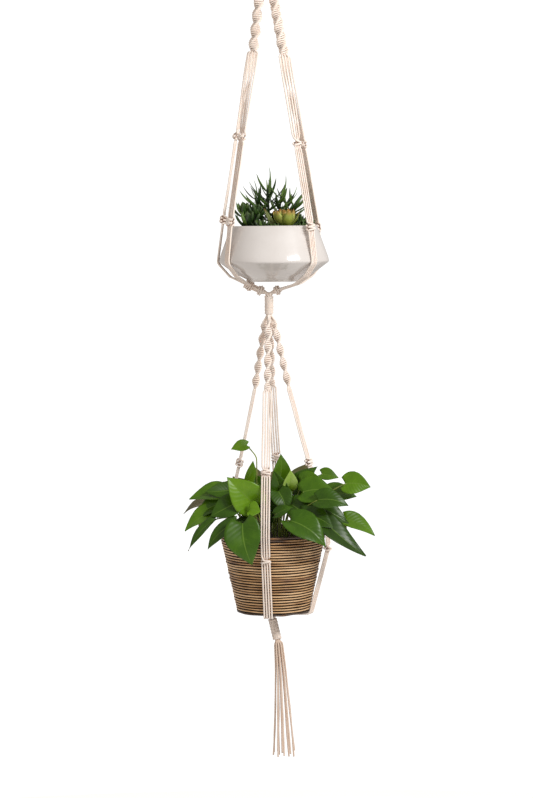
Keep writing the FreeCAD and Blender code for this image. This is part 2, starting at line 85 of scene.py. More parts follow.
def add(tree, kind, settings=None, **links):
    """Adds a shader node, sets its values and links its inputs; returns the node."""
    made = tree.nodes.new(kind)
    for key, value in (settings or {}).items():
        if isinstance(key, str) and hasattr(made, key):
            setattr(made, key, value)
        else:
            made.inputs[key].default_value = value
    for key, source in links.items():
        name = key.replace("_", " ")
        target = made.inputs[int(key[1:])] if key[0] == "i" and key[1:].isdigit() else made.inputs[name]
        tree.links.new(source, target)
    return made


def surface(name, **settings):
    """A material with one Principled shader, and its node tree."""
    made = bpy.data.materials.new(name)
    made.use_nodes = True
    shader = made.node_tree.nodes["Principled BSDF"]
    for key, value in settings.items():
        shader.inputs[key.replace("_", " ")].default_value = value
    return made, made.node_tree


def ramp(tree, fac, stops):
    """A colour ramp from (position, hex) stops, driven by a factor."""
    made = add(tree, "ShaderNodeValToRGB", Fac=fac)
    elements = made.color_ramp.elements
    while len(elements) < len(stops):
        elements.new(0.5)
    for element, (position, colour) in zip(elements, stops):
        element.position = position
        element.color = linear(colour)
    return made.outputs["Color"]


def noise_in(tree, scale, detail, stretch=None, place=None, **more):
    """A noise texture's value in the piece's own space, or at a given place, stretched by axis if asked."""
    place = place or add(tree, "ShaderNodeTexCoord").outputs["Object"]
    if stretch:
        place = add(tree, "ShaderNodeMapping", {"Scale": stretch}, Vector=place).outputs["Vector"]
    settings = {"Scale": scale, "Detail": detail, **more}
    return add(tree, "ShaderNodeTexNoise", settings, Vector=place).outputs["Fac"]


def dressed(made, colour, height=None, strength=0.0, distance=0.0):
    """Gives a material its colour and, where it has one, its fine relief; returns the material."""
    tree = made.node_tree
    shader = tree.nodes["Principled BSDF"]
    tree.links.new(colour, shader.inputs["Base Color"])
    if height:
        bump = add(tree, "ShaderNodeBump", {"Strength": strength, "Distance": distance}, Height=height)
        tree.links.new(bump.outputs["Normal"], shader.inputs["Normal"])
    return made


def piece(name, mesh, material, body, nodes=()):
    """Links a mesh as a piece of the object, riding on a body and standing for CAD nodes."""
    made = bpy.data.objects.new(name, mesh)
    scene.collection.objects.link(made)
    mesh.materials.append(material)
    mesh.shade_smooth()
    if body:
        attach(made, body)
    if nodes:
        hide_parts(*nodes)
    return made


def resample(points, step):
    """The same line as evenly spaced points, no further apart than a step."""
    lengths = [(b - a).length for a, b in zip(points, points[1:])]
    total = sum(lengths)
    count = max(2, math.ceil(total / step))
    out, k, done = [points[0].copy()], 0, 0.0
    for n in range(1, count):
        target = total * n / count
        while done + lengths[k] < target:
            done += lengths[k]
            k += 1
        out.append(points[k].lerp(points[k + 1], (target - done) / lengths[k]))
    out.append(points[-1].copy())
    return out


def eased(points, step, passes):
    """A route as an even line with its corners eased, the way soft cord takes them."""
    line = resample(points, step)
    for _ in range(passes):
        line = [line[0]] + [(a + 2 * b + c) / 4 for a, b, c in zip(line, line[1:], line[2:])] + [line[-1]]
    return line


def frames_along(line):
    """Tangent and two normals at each point of a line, carried along without spinning."""
    out = []
    side = None
    for n, here in enumerate(line):
        ahead = line[min(n + 1, len(line) - 1)] - line[max(n - 1, 0)]
        ahead.normalize()
        if side is None:
            side = ahead.orthogonal().normalized()
        side = (side - ahead * side.dot(ahead)).normalized()
        out.append((here, ahead, side, ahead.cross(side)))
    return out


def join_rings(bm, rings, closed=False):
    """Faces between successive rings of vertices, and from the last to the first where it is closed."""
    for low, high in list(zip(rings, rings[1:])) + [(rings[-1], rings[0])] * closed:
        for k in range(len(low)):
            j = (k + 1) % len(low)
            bm.faces.new((low[k], low[j], high[j], high[k]))


def ply_tube(bm, line, diameter=CORD_D, start_turn=0.0, depth=PLY_DEPTH, lay=LAY):
    """Adds a three-ply tube along a line to a bmesh, closed at both ends."""
    rings = []
    run = 0.0
    previous = line[0]
    for n, (here, ahead, side, other) in enumerate(frames_along(line)):
        run += (here - previous).length
        previous = here
        bend = 0.0
        if 0 < n < len(line) - 1:
            before, after = here - line[n - 1], line[n + 1] - here
            bend = before.angle(after, 0.0) / max(before.length, 1e-6)
        radius = diameter / 2 * (1 + KNOT_SWELL * min(1.0, bend / FULL_BEND))
        twist = start_turn + 2 * math.pi * run / lay
        ring = []
        for k in range(SECTION_POINTS):
            a = 2 * math.pi * k / SECTION_POINTS
            r = radius * (1 - depth * (0.5 - 0.5 * math.cos(3 * a)) * 1.6)
            spot = side * math.cos(a + twist) + other * math.sin(a + twist)
            ring.append(bm.verts.new(here + spot * r))
        rings.append(ring)
    join_rings(bm, rings)
    bm.faces.new(list(reversed(rings[0])))
    bm.faces.new(rings[-1])


def mesh_from(bm, name):
    bmesh.ops.recalc_face_normals(bm, faces=bm.faces)
    made = bpy.data.meshes.new(name)
    bm.to_mesh(made)
    bm.free()
    return made


def strands_mesh(name, lines, **options):
    bm = bmesh.new()
    for n, line in enumerate(lines):
        ply_tube(bm, line, start_turn=1.7 * n, **options)
    return mesh_from(bm, name)


# Natural cotton, combed and twisted, unbleached: cream, with a warmer, darker painted shade where ambient
# occlusion finds the hollows between the plies and strands, and a dull surface with a soft fuzz that lights
# the edges.
COTTON_LIGHT = "#FBEFE5"
COTTON_MID = "#F5E4D6"
COTTON_PAINTED_SHADE = "#BF9A82"
COTTON_WOUND_PAINTED_SHADE = "#E8D2C0"
FIBRE = 0.45 * MM          # real fibres are finer; this is the finest that still shows


def cotton_cord(name, light, mid, hollow):
    made, tree = surface(name, Roughness=0.88, Sheen_Weight=0.35, Sheen_Roughness=0.5,
                         Specular_IOR_Level=0.25, Subsurface_Weight=0.12,
                         Subsurface_Radius=(0.0025, 0.0022, 0.0018), Subsurface_Scale=0.5)
    tone = ramp(tree, noise_in(tree, 22.0, 3.0), [(0.3, mid), (0.65, light)])
    # Painted shade: where ambient occlusion finds creases and touching cords, the colour is mixed towards the
    # hollow colour, which is painted shade.
    crease_shade_ao = add(tree, "ShaderNodeAmbientOcclusion", {"Distance": 0.006, "samples": 8, "only_local": True})
    depth = ramp(tree, crease_shade_ao.outputs["AO"], [(0.14, "#000000"), (0.74, "#FFFFFF")])
    colour = add(tree, "ShaderNodeMix", {"data_type": "RGBA"}, Factor=depth, B=tone)
    colour.inputs["A"].default_value = linear(hollow)
    fibre = noise_in(tree, 1 / (2 * FIBRE), 2.0)
    return dressed(made, colour.outputs["Result"], fibre, 0.18, 0.0003)


cotton = cotton_cord("natural_twisted_cotton", COTTON_LIGHT, COTTON_MID, COTTON_PAINTED_SHADE)
# Wound tight it gets only a faint painted shade; loose, as in the tassel, it is browner and its painted shade
# deeper.
wound_cotton = cotton_cord("tightly_wound_cotton", COTTON_LIGHT, COTTON_MID, COTTON_WOUND_PAINTED_SHADE)
loose_cotton = cotton_cord("loose_browner_cotton", "#E8D3C2", "#DBC2AD", "#8E6C54")


# Tassel. The sixteen strands end loose under the last wrap, cut by hand at slightly different
# lengths, and hang slack with a small wave left by the knots they were pulled through.
TASSEL_WRAP_TOP = mm(0.5, 0, -1362)
TASSEL_WRAP_END = mm(10, 0, -1403.5)
BALL_IN = 2 * MM
TASSEL_LEAN = (TASSEL_WRAP_END - TASSEL_WRAP_TOP).normalized()
TASSEL_ACROSS = Vector((-TASSEL_LEAN.z, 0, TASSEL_LEAN.x))
TASSEL_SWAY = TASSEL_WRAP_END - TASSEL_LEAN * BALL_IN
TASSEL_HEAD_END = TASSEL_SWAY + TASSEL_LEAN * 12 * MM
TASSEL_STRANDS = ((1, 0.0, 0.0), (5, 3.95, 9.5), (10, 8.0, 20.0))   # count, head radius, end radius
TASSEL_END_Z = -1632.0
TASSEL_DRIFT = 9.0


def nurbs_route(name, points):
    """A smooth open spline on a route's points, and the same line as points to follow."""
    curve = bpy.data.curves.new(name, "CURVE")
    curve.dimensions = "3D"
    curve.resolution_u = 24
    spline = curve.splines.new("NURBS")
    spline.points.add(len(points) - 1)
    for knot, p in zip(spline.points, points):
        knot.co = (*p, 1)
    spline.order_u = 3
    spline.use_endpoint_u = True
    holder = bpy.data.objects.new(name, curve)
    line = bpy.data.meshes.new_from_object(holder)
    path = [v.co.copy() for v in line.vertices]
    bpy.data.objects.remove(holder)
    bpy.data.curves.remove(curve)
    return path


tassel_tops = []
for ring_number, (count, head_r, end_r) in enumerate(TASSEL_STRANDS):
    for k in range(count):
        a = 2 * math.pi * (k + 0.5) / count
        start = TASSEL_HEAD_END / MM + TASSEL_ACROSS * (head_r * math.cos(a))
        start = start + Vector((0, head_r * math.sin(a), 0))
        end_z = TASSEL_END_Z + 5 * math.sin(2.4 * k + ring_number)
        route = [start]
        for step in range(1, 6):
            share = step / 5
            spread = head_r + (end_r - head_r) * share ** 1.2
            wave = 1.2 * (1 + math.sin(2.6 * step + 1.9 * k)) * share * (ring_number > 0)
            x = TASSEL_HEAD_END.x / MM + TASSEL_DRIFT * share ** 0.6 + (spread + wave) * math.cos(a)
            y = (spread + wave) * math.sin(a)
            route.append(Vector((x, y, TASSEL_HEAD_END.z / MM + (end_z - TASSEL_HEAD_END.z / MM) * share)))
        route = [p * MM for p in route]
        path = nurbs_route("tassel_route", route)
        strand = piece(f"tassel_strand_{ring_number}_{k}",
                       strands_mesh("tassel_strand", [resample(path, STRAND_STEP)]),
                       loose_cotton, "tassel_body", ["tassel_strands"])
        tassel_tops.append((route[0], (route[1] - route[0]).normalized(), a, head_r))

# Where the strands leave the last wrap they are one tight bundle, still pressed together, and open
# out to their places in the tassel over a finger's width.
stubs = []
for start, heading, a, head_r in tassel_tops:
    inside = TASSEL_SWAY - TASSEL_LEAN * 1.5 * MM
    packed = (TASSEL_ACROSS * math.cos(a) + Vector((0, math.sin(a), 0))) * (head_r * 0.32 * MM)
    neck = TASSEL_SWAY + TASSEL_LEAN * 5 * MM + packed * 1.4
    stubs.append(eased([inside + packed, neck, start, start + heading * 2 * MM], STRAND_STEP, 4))
piece("tassel_neck", strands_mesh("tassel_neck", stubs), loose_cotton, "tassel_body", ["tassel_head"])


# Wraps. A thinner cotton cord is wound tightly round the bundle, each turn against the last, and both
# its ends are drawn inside, which leaves a smooth barrel with fine rings.
WRAP_R = 8.5 * MM
WRAP_CORD = 2.1 * MM
WRAP_TAIL = 1.3 * MM


def wrap_mesh(name, top, end):
    axis = (end - top).normalized()
    side = axis.orthogonal().normalized()
    other = axis.cross(side)
    length = (end - top).length - WRAP_CORD
    turns = length / (WRAP_CORD * 0.93)
    coil_r = WRAP_R - WRAP_CORD / 2
    line = []
    for n in range(int(turns * 28) + 1):
        a = 2 * math.pi * n / 28
        pull = 0.22 * MM * math.sin(a * 0.31) + 0.12 * MM * math.sin(a * 1.7)
        along = axis * (WRAP_CORD / 2 + length * n / (turns * 28))
        line.append(top + along + (side * math.cos(a) + other * math.sin(a)) * (coil_r + pull))
    bm = bmesh.new()
    ply_tube(bm, line, diameter=WRAP_CORD * 1.16, depth=0.02, lay=6 * MM)
    tail = [line[-1], line[-1] + axis * WRAP_TAIL / 2, line[-1] + axis * WRAP_TAIL + other * MM]
    ply_tube(bm, eased(tail, 0.6 * MM, 2), diameter=WRAP_CORD * 0.9, lay=6 * MM)
    return mesh_from(bm, name)


WRAPS = {
    "top_wrap": ("upper_cradle", mm(0, 0, -80), mm(0, 0, -112)),
    "middle_wrap": ("middle", mm(0, 0, -726), mm(0, 0, -762)),
    "tassel_wrap": ("tassel_wrap_body", TASSEL_WRAP_TOP, TASSEL_WRAP_END),
}
for name, (body, top, end) in WRAPS.items():
    piece(name + "_winding", wrap_mesh(name, top, end), wound_cotton, body, [name])


def coat_node(name, material):
    """Gives a CAD node that is seen as it is a better material."""
    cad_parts[name].data.materials.clear()
    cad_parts[name].data.materials.append(material)


for node_name in ("top_bundle", "middle_bundle", "tassel_bundle"):
    coat_node(node_name, wound_cotton)


# Ring. A turned beech ring, sanded and oiled: straight grain that follows the plank it was cut from,
# so it runs across the ring at two sides and along it at the others.
RING_R = 28 * MM
RING_TUBE = 5 * MM
RING_CENTRE = mm(0, 0, -23)


def oiled_beech():
    made, tree = surface("oiled_beech", Roughness=0.42)
    grain = noise_in(tree, 1.0, 5.0, (30.0, 420.0, 420.0), Distortion=0.4)
    colour = ramp(tree, grain, [(0.3, "#9C6B3E"), (0.5, "#C08F5C"), (0.72, "#D3A674")])
    return dressed(made, colour, grain, 0.15, 0.0003)


def ring_mesh():
    bm = bmesh.new()
    rows = []
    for n in range(96):
        a = 2 * math.pi * n / 96
        way = Vector((math.cos(a), 0, math.sin(a)))
        row = []
        for k in range(20):
            b = 2 * math.pi * k / 20
            row.append(bm.verts.new(RING_CENTRE + way * (RING_R + RING_TUBE * math.cos(b))
                                    + Vector((0, RING_TUBE * math.sin(b), 0))))
        rows.append(row)
    join_rings(bm, rows, closed=True)
    return mesh_from(bm, "hanging_ring")


piece("beech_ring", ring_mesh(), oiled_beech(), "ring", ["hanging_ring"])


# Folded cords. Eight cords of some nine metres are laid over the ring side by side and hang down in
# front and behind, and the top wrap draws the sixteen ends together.
LOOPS = 8
LOOP_STEP = 3.75
LOOP_CLEAR = 0.4
folds = []
for k in range(LOOPS):
    x = (k - (LOOPS - 1) / 2) * LOOP_STEP
    rise = 28 - math.sqrt(28 ** 2 - (abs(x) + 1.8) ** 2)
    reach = 5 + rise + LOOP_CLEAR + 1.8
    arc = []
    for n in range(25):
        a = math.pi * n / 24
        arc.append(mm(x, -reach * math.cos(a), -51 + reach * math.sin(a)))
    ends = []
    for hand in (-1, 1):
        ends.append([mm(x, hand * reach, -60), mm(x * 0.62, hand * reach * 0.66, -72),
                     mm(x * 0.34, hand * 3.0, -80), mm(x * 0.3, hand * 2.4, -88)])
    front, back = ends
    folds.append(eased(list(reversed(front)) + arc + back, STRAND_STEP, 5))
piece("folded_cords", strands_mesh("folded_cords", folds), cotton, "upper_cradle",
      ["ring_folds", "top_funnel"])


# Legs. Each leg is four strands. The two outer ones are worked round the two inner ones: first a
# spiral of half knots, all tied the same way so that it turns, then open strands, then square knots.
HALF_KNOT = 4.2            # height of one half knot
HALF_TURN = 28.0           # length in which the spiral turns half round
UPPER_REACH = (8.7, 2.9)   # reach of the working strands at the knots' sides, and front and back
LOWER_REACH = (6.8, 1.7)
ROW = 3.75
ROW_OPEN = 4.9             # where the strands hang a little apart
ROW_WIDE = 4.5
ROW_STRAP = 3.85
KNOT_H = 19.0


def radial(azimuth):
    a = math.radians(azimuth)
    return Vector((math.sin(a), -math.cos(a), 0))


def tangent(azimuth):
    a = math.radians(azimuth)
    return Vector((math.cos(a), math.sin(a), 0))


def along(a, b, distance):
    return a + (b - a).normalized() * distance


def local_axes(top, bottom, side):
    """Down the leg, across it, and towards its front."""
    down = (bottom - top).normalized()
    across = (side - down * side.dot(down)).normalized()
    return down, across, down.cross(across)


def sinnet_lines(top, bottom, side, reach):
    """Four strands of a spiral sinnet, left to right as they leave it."""
    down, across, front = local_axes(top, bottom, side)
    length = (bottom - top).length
    knots = max(2, round(length / HALF_KNOT))
    pitch = 2 * length / knots
    lines = [[], [], [], []]
    for n in range(knots * 12 + 1):
        theta = math.pi * n / 12
        z = pitch * (theta + 0.33 * math.sin(2 * theta)) / (2 * math.pi)
        for strand, phase in ((0, math.pi), (3, 0.0)):
            here = theta + phase - math.pi * knots
            turn = math.pi * (z - length) / HALF_TURN
            tuck = 0.62 + 0.38 * min(1.0, z / 6, (length - z) / 6)
            x = reach[0] * tuck * math.cos(here)
            y = reach[1] * tuck * math.sin(here)
            spot = (across * (x * math.cos(turn) - y * math.sin(turn))
                    + front * (x * math.sin(turn) + y * math.cos(turn)))
            lines[strand].append(top + down * z + spot)
    for n in range(41):
        z = length * n / 40
        turn = math.pi * (z - length) / HALF_TURN
        way = across * math.cos(turn) + front * math.sin(turn)
        lines[1].append(top + down * z - way * 1.75)
        lines[2].append(top + down * z + way * 1.75)
    return lines


def row_lines(top, bottom, top_side, side, spread, rng):
    """Four open strands side by side. They leave the sinnet in round shoulders, facing the way it ended,
    turn towards the knot below, and don't lie quite even."""
    down = (bottom - top).normalized()
    length = (bottom - top).length
    lines = []
    for k in range(4):
        place = (k - 1.5) * spread
        line = [top + top_side * (k - 1.5) * 3.4 + down * 1.0]
        for share in (0.022, 0.3, 0.65, 0.96):
            facing = top_side.lerp(side, share)
            across = (facing - down * facing.dot(down)).normalized()
            front = down.cross(across)
            drift = across * rng.uniform(-0.4, 0.4) + front * rng.uniform(-0.6, 0.6)
            line.append(top + down * (length * share) + across * place + drift)
        lines.append(eased(line, 1.25, 3))
    return lines


def square_knot_lines(top, bottom, side, halves, lead, wide_in=ROW_WIDE, wide_out=ROW):
    """Four strands through a square knot: the outer two tied round the inner two, halves times."""
    down, across, front = local_axes(top, bottom, side)
    height = (bottom - top).length
    step = (height - lead - 3.5) / halves

    def spot(x, y, z):
        return top + across * x + front * y + down * z

    lines = [[], [], [], []]
    for strand, hand, face in ((0, -1, 1), (3, 1, -1)):
        place = hand
        line = [spot(hand * wide_in * 1.5, 0, 0), spot(hand * 5.6, face * 1.8, lead * 0.55)]
        for k in range(halves):
            z = lead + step * k
            line.append(spot(place * 4.6, face * 5.7, z + step * 0.22))
            line.append(spot(-place * 4.6, face * 5.7, z + step * 0.72))
            place = -place
            line.append(spot(place * 9.8, face * 0.8, z + step))
        line.append(spot(hand * 5.0, 0, height - 1.2))
        line.append(spot(hand * wide_out * 1.5, 0, height))
        lines[strand] = line
    for strand, hand in ((1, -1), (2, 1)):
        lines[strand] = [spot(hand * wide_in * 0.5, 0, 0), spot(hand * 1.8, 0, lead),
                         spot(hand * 1.8, 0, height - 3), spot(hand * wide_out * 0.5, 0, height)]
    return [eased(line, 0.9, 2) for line in lines]


def strap_lines(points, side, step, passes):
    """Four strands side by side along a bent route."""
    return [eased([p + side * ((k - 1.5) * step) for p in points], 1.25, passes) for k in range(4)]


def joined(sections):
    """Joins the four strands of successive sections, and eases where they meet."""
    out = []
    for k in range(4):
        line = [p for section in sections for p in section[k]]
        out.append([p * MM for p in eased(line, STRAND_STEP / MM, 3)])
    return out


def bundle_spots(azimuth, z):
    """Where a leg's four strands leave a wrap, pressed together."""
    out, side = radial(azimuth), tangent(azimuth)
    spots = ((2.2, -1.9), (4.6, -1.2), (4.6, 1.2), (2.2, 1.9))
    return [Vector((0, 0, z)) + out * r + side * t for r, t in spots]


UPPER = {
    "fl": (-55, (-10.5, -8.0, -130), (-25, -19, -253), (-49, -36.5, -417), (-73, -54.5, -582)),
    "rl": (-98, (-11.0, 7.5, -130), (-27, 5, -253), (-60.5, 9, -415), (-87.5, 13.3, -578)),
    "fr": (44, (10.5, -8.0, -130), (32, -25, -260), (56.6, -47.8, -431), (81.4, -69.6, -594)),
    "rr": (122, (11.0, 7.5, -130), (35, 18, -260), (69.5, 35, -431), (96.5, 50.5, -594)),
}
BOWL_X = 10.6
STRAP_R = 107.5 + 1.8 + 1.9
LEFT_GATHER = Vector((-36.0, -6.0, -706.5))
LEFT_KNOT = Vector((-15.0, -1.5, -716.5))
RIGHT_KNOT = Vector((15.5, -1.0, -716.0))
NECK_TOP = Vector((0, 0, -721.5))
NECK_END = Vector((0, 0, -731.0))
BUNDLE_PLACES = ((-1.7, -1.7), (1.7, -1.7), (-1.7, 1.7), (1.7, 1.7), (0, -4.4), (0, 4.4), (-4.2, 0), (4.2, 0))


def bundle_place(n, across, up):
    a, b = BUNDLE_PLACES[n % 8]
    return across * a + up * b


strand_rng = random.Random(41)
for name, (azimuth, *points) in UPPER.items():
    start, sinnet_end, knot_at, rim_at = map(Vector, points)
    side, out = tangent(azimuth), radial(azimuth)
    half = KNOT_H / 2
    knot_top, knot_low = along(knot_at, sinnet_end, half), along(knot_at, rim_at, half)
    shoulder = Vector((BOWL_X, 0, -661.5)) + out * STRAP_R
    belly = Vector((BOWL_X, 0, -688.5)) + out * 87
    foot = Vector((BOWL_X, 0, -703)) + out * 60
    rim_top, rim_low = along(rim_at, knot_at, half), along(rim_at, shoulder, half)
    fan = [[spot, spot + Vector((0, 0, -6))] for spot in bundle_spots(azimuth, -108)]
    spiral = sinnet_lines(start, sinnet_end, side, UPPER_REACH)
    opened = Vector((math.copysign(0.94, side.x), math.copysign(0.34, side.y), 0))
    row_one = row_lines(sinnet_end, knot_top, opened, side, 6.1, strand_rng)
    row_two = row_lines(knot_low, rim_top, side, side, 4.9, strand_rng)
    knot_one = square_knot_lines(knot_top, knot_low, side, 2, 6.5, ROW_WIDE, ROW)
    knot_two = square_knot_lines(rim_top, rim_low, side, 4, 2.5, ROW_WIDE, ROW_STRAP)
    if name in ("fl", "rl"):
        corners = [rim_low, shoulder, belly]
        shift = Vector((-2, -5, 0)) if name == "fl" else Vector((-4, 8.5, 0.5))
        entry, through = LEFT_GATHER + shift, [LEFT_GATHER, LEFT_KNOT]
    else:
        corners = [rim_low, shoulder, belly, foot]
        entry, through = RIGHT_KNOT + out * 8 + Vector((0, 0, 1.5)), [RIGHT_KNOT]
    strap = strap_lines(corners, side, ROW_STRAP, 22)
    first = 0 if name in ("fl", "fr") else 4
    ends = []
    for k in range(4):
        line = [entry + side * ((k - 1.5) * 3.3) + UP * (1.6 * (k % 2))]
        for at, nxt in zip(through, through[1:] + [NECK_TOP]):
            ahead = (nxt - at).normalized()
            across = ahead.cross(UP).normalized()
            line.append(at + bundle_place(first + k, across, across.cross(ahead)))
        for at in (NECK_TOP, NECK_END):
            line.append(at + bundle_place(first + k, Vector((1, 0, 0)), Vector((0, 1, 0))) * 0.8
                        + Vector((1.6 if name in ("fr", "rr") else -1.6, 0, 0)))
        ends.append(eased([strap[k][-1]] + line, 1.25, 5)[1:])
    lines = joined([fan, spiral, row_one, knot_one, row_two, knot_two, strap, ends])
    piece("leg_" + name, strands_mesh("leg_" + name, lines), cotton, "upper_cradle",
          ["upper_strands_" + name, "cradle_strands_" + name, "bowl_strap_" + name,
           "upper_sinnets", "upper_knots", "rim_knots", "top_fan"])


# Knots under the bowl. On each side two strands of the bundle are turned round the others and pulled
# tight; the left side has two such knots, one behind the other.
def turned_knot(at, ahead, radius, turns, length):
    """A strand wound round a bundle and tucked back along it."""
    ahead = ahead.normalized()
    side = ahead.orthogonal().normalized()
    other = ahead.cross(side)
    count = int(turns * 20)
    line = []
    for n in range(count + 1):
        share = n / count
        a = 2 * math.pi * turns * share
        swell = radius * (0.78 + 0.3 * math.sin(math.pi * share)) * (1 + 0.06 * math.sin(2 * a + 0.6))
        round_it = side * math.cos(a) + other * math.sin(a)
        line.append(at + ahead * (length * (share - 0.5)) + round_it * swell)
    tuck = line[-1] - ahead * length * 0.9 + other * 1.2
    line.append(line[-1].lerp(tuck, 0.5) + (line[-1] - at).normalized() * 1.6)
    line.append(tuck)
    return [p * MM for p in eased(line, STRAND_STEP / MM, 2)]


gathers = [
    turned_knot(LEFT_GATHER + Vector((-1, 0, 0.5)), Vector((1, 0.1, -0.7)), 8.4, 2.6, 10.5),
    turned_knot(LEFT_GATHER + Vector((-6, -3, 4)), Vector((1, 0.3, -0.8)), 8.0, 1.8, 7.0),
    turned_knot(LEFT_KNOT + Vector((-1.5, 0, 0.8)), Vector((1, 0, -0.5)), 7.9, 2.4, 9.5),
    turned_knot(RIGHT_KNOT + Vector((1, 0, 0.5)), Vector((-1, 0, -0.35)), 8.1, 2.6, 10.5),
]
piece("gather_knot_turns", strands_mesh("gather_knots", gathers), cotton, "upper_cradle",
      ["gather_knots", "gather_bridge", "gather_neck"])


# Lower legs. Four legs of four strands leave the middle wrap, turn as spirals and then hang open. Each
# is square-knotted above the basket and again on its wall, passes under its base and joins the others
# there. A leg is given by its azimuth, the way its flat faces, start radius, sinnet end and knot.
LOWER = {
    "front": (-8, -8, 9.8, (-4.9, -37.0, -908), (-9.4, -71.4, -1063)),
    "right": (78, 64, 10.0, (37.1, -6.5, -904), (75.0, -12.0, -1052)),
    "rear": (172, 172, 9.8, (4.5, 37.0, -904), (11.5, 71.0, -1050)),
    "left": (-120, -104, 10.0, (-29.5, 17.0, -909), (-61.3, 35.4, -1057)),
}
BASKET_X = 3.0
BASKET_R = 104.5
BASKET_BASE_R = 70.5
BASKET_TOP = -1187.0
BASKET_BASE = -1346.5
BASKET_KNOT_Z = -1232.0
WALL_OUT = 2.9


def basket_radius(z):
    return BASKET_R + (BASKET_BASE_R - BASKET_R) * (BASKET_TOP - z) / (BASKET_TOP - BASKET_BASE)


for name, (azimuth, facing, start_r, *points) in LOWER.items():
    sinnet_end, knot_at = map(Vector, points)
    side, out = tangent(facing), radial(azimuth)
    start = out * start_r + Vector((0, 0, -779))
    rim = out * (BASKET_R + 2.6 + 1.8) + Vector((BASKET_X, 0, BASKET_TOP))
    wall = out * (basket_radius(BASKET_KNOT_Z) + WALL_OUT + 4.5) + Vector((BASKET_X, 0, BASKET_KNOT_Z))
    if name == "right":
        wall = out * (BASKET_R + 6) + Vector((BASKET_X, 0, BASKET_KNOT_Z + 12))
        rim = out * (BASKET_R + 5.5) + Vector((BASKET_X, 0, BASKET_TOP - 1))
    edge = out * (BASKET_BASE_R + WALL_OUT + 1.8) + Vector((BASKET_X, 0, BASKET_BASE - 3.2))
    inner = out * 12 + Vector((0, 0, -1352.5))
    half = KNOT_H / 2
    knot_top, knot_low = along(knot_at, sinnet_end, half), along(knot_at, rim, half)
    wall_top, wall_low = along(wall, rim, half * 0.8), along(wall, edge, half * 0.8)
    fan = [[spot, spot + Vector((0, 0, -5))] for spot in bundle_spots(azimuth, -757)]
    spiral = sinnet_lines(start, sinnet_end, side, LOWER_REACH)
    row_one = row_lines(sinnet_end, knot_top, side, side, ROW_OPEN, strand_rng)
    halves, lead = (3, 5.5) if name == "front" else (4, 2.5)
    knot_one = square_knot_lines(knot_top, knot_low, side, halves, lead, ROW_OPEN, ROW_OPEN)
    over_rim = strap_lines([knot_low, rim, wall_top], side, ROW_OPEN, 14)
    knot_two = square_knot_lines(wall_top, wall_low, side, 2, 5.0, ROW_OPEN, ROW_OPEN)
    strap = strap_lines([wall_low, edge, inner], side, ROW_OPEN, 8)
    ends = []
    for k in range(4):
        packed = out * (2.0 + 2.2 * (k % 2)) + side * ((k - 1.5) * 1.5)
        ends.append([strap[k][-1] + Vector((0, 0, -0.5)), packed + Vector((0, 0, -1357)),
                     packed * 0.6 + Vector((0.7, 0, -1363.6))])
    ends = [eased(line, 1.25, 5)[1:] for line in ends]
    lines = joined([fan, spiral, row_one, knot_one, over_rim, knot_two, strap, ends])
    piece("leg_" + name, strands_mesh("leg_" + name, lines), cotton, "lower_cradle",
          ["lower_strands_" + name, "rim_strands_" + name, "basket_strap_" + name, "lower_sinnets",
           "lower_knots", "basket_knots", "lower_fan", "base_gather"])


# Bowl. White stoneware, thrown with a sharp shoulder that the throwing left very slightly rounded, and
# dipped in a clear gloss glaze that pools thinly at the rim.
BOWL_OUTSIDE = ((51.3, -697.6), (53, -695.2), (55.5, -693.2), (66, -687.8), (78, -681.8), (92, -671.6),
                (104.2, -662.4), (106.6, -660.2), (107.3, -658.6), (107.1, -657.2), (106.1, -653.0),
                (104.8, -648.5), (103.3, -644.0), (99.0, -632.0), (94.7, -620.0), (90.4, -608.0),
                (86.8, -598.0), (84.6, -591.6))
BOWL_INSIDE = ((83.6, -590.2), (81.6, -589.9), (79.7, -590.9), (81.8, -596.0), (86.0, -608.0),
               (94.0, -632.0), (98, -645))
BOWL_UNDER = ((0, -694), (44.6, -694), (45.8, -694.6), (46.6, -697.4), (48.2, -698.2), (50.4, -698.2))


def lathe(name, profile, centre_x, points=160, closed=False):
    """Turns a profile of (radius, height) pairs in millimetres round an upright axis."""
    bm = bmesh.new()
    rings = []
    for radius, z in profile:
        if radius == 0:
            rings.append([bm.verts.new(mm(centre_x, 0, z))])
        else:
            rings.append([bm.verts.new(mm(centre_x + radius * math.cos(2 * math.pi * k / points),
                                          radius * math.sin(2 * math.pi * k / points), z))
                          for k in range(points)])
    pairs = list(zip(rings, rings[1:]))
    if closed:
        pairs.append((rings[-1], rings[0]))
    for low, high in pairs:
        for k in range(points):
            j = (k + 1) % points
            if len(low) == 1:
                bm.faces.new((low[0], high[j], high[k]))
            elif len(high) == 1:
                bm.faces.new((low[k], low[j], high[0]))
            else:
                bm.faces.new((low[k], low[j], high[j], high[k]))
    return mesh_from(bm, name)


def over(tree, share, base, colour):
    """A hex colour laid over a base colour where the share is high."""
    made = add(tree, "ShaderNodeMix", {"data_type": "RGBA"}, Factor=share, A=base)
    made.inputs["B"].default_value = linear(colour)
    return made.outputs["Result"]


def gloss_glaze():
    made, tree = surface("gloss_glazed_stoneware", Roughness=0.14, IOR=1.52, Coat_Weight=0.3,
                         Coat_Roughness=0.05)
    pooled = ramp(tree, noise_in(tree, 14.0, 3.0), [(0.3, "#D2CCC7"), (0.7, "#DDD8D4")])
    iron = ramp(tree, noise_in(tree, 900.0, 1.0), [(0.76, "#000000"), (0.8, "#FFFFFF")])
    throwing = noise_in(tree, 1.0, 2.0, (3.0, 3.0, 160.0))
    return dressed(made, over(tree, iron, pooled, "#C9BBA9"), throwing, 0.12, 0.0006)


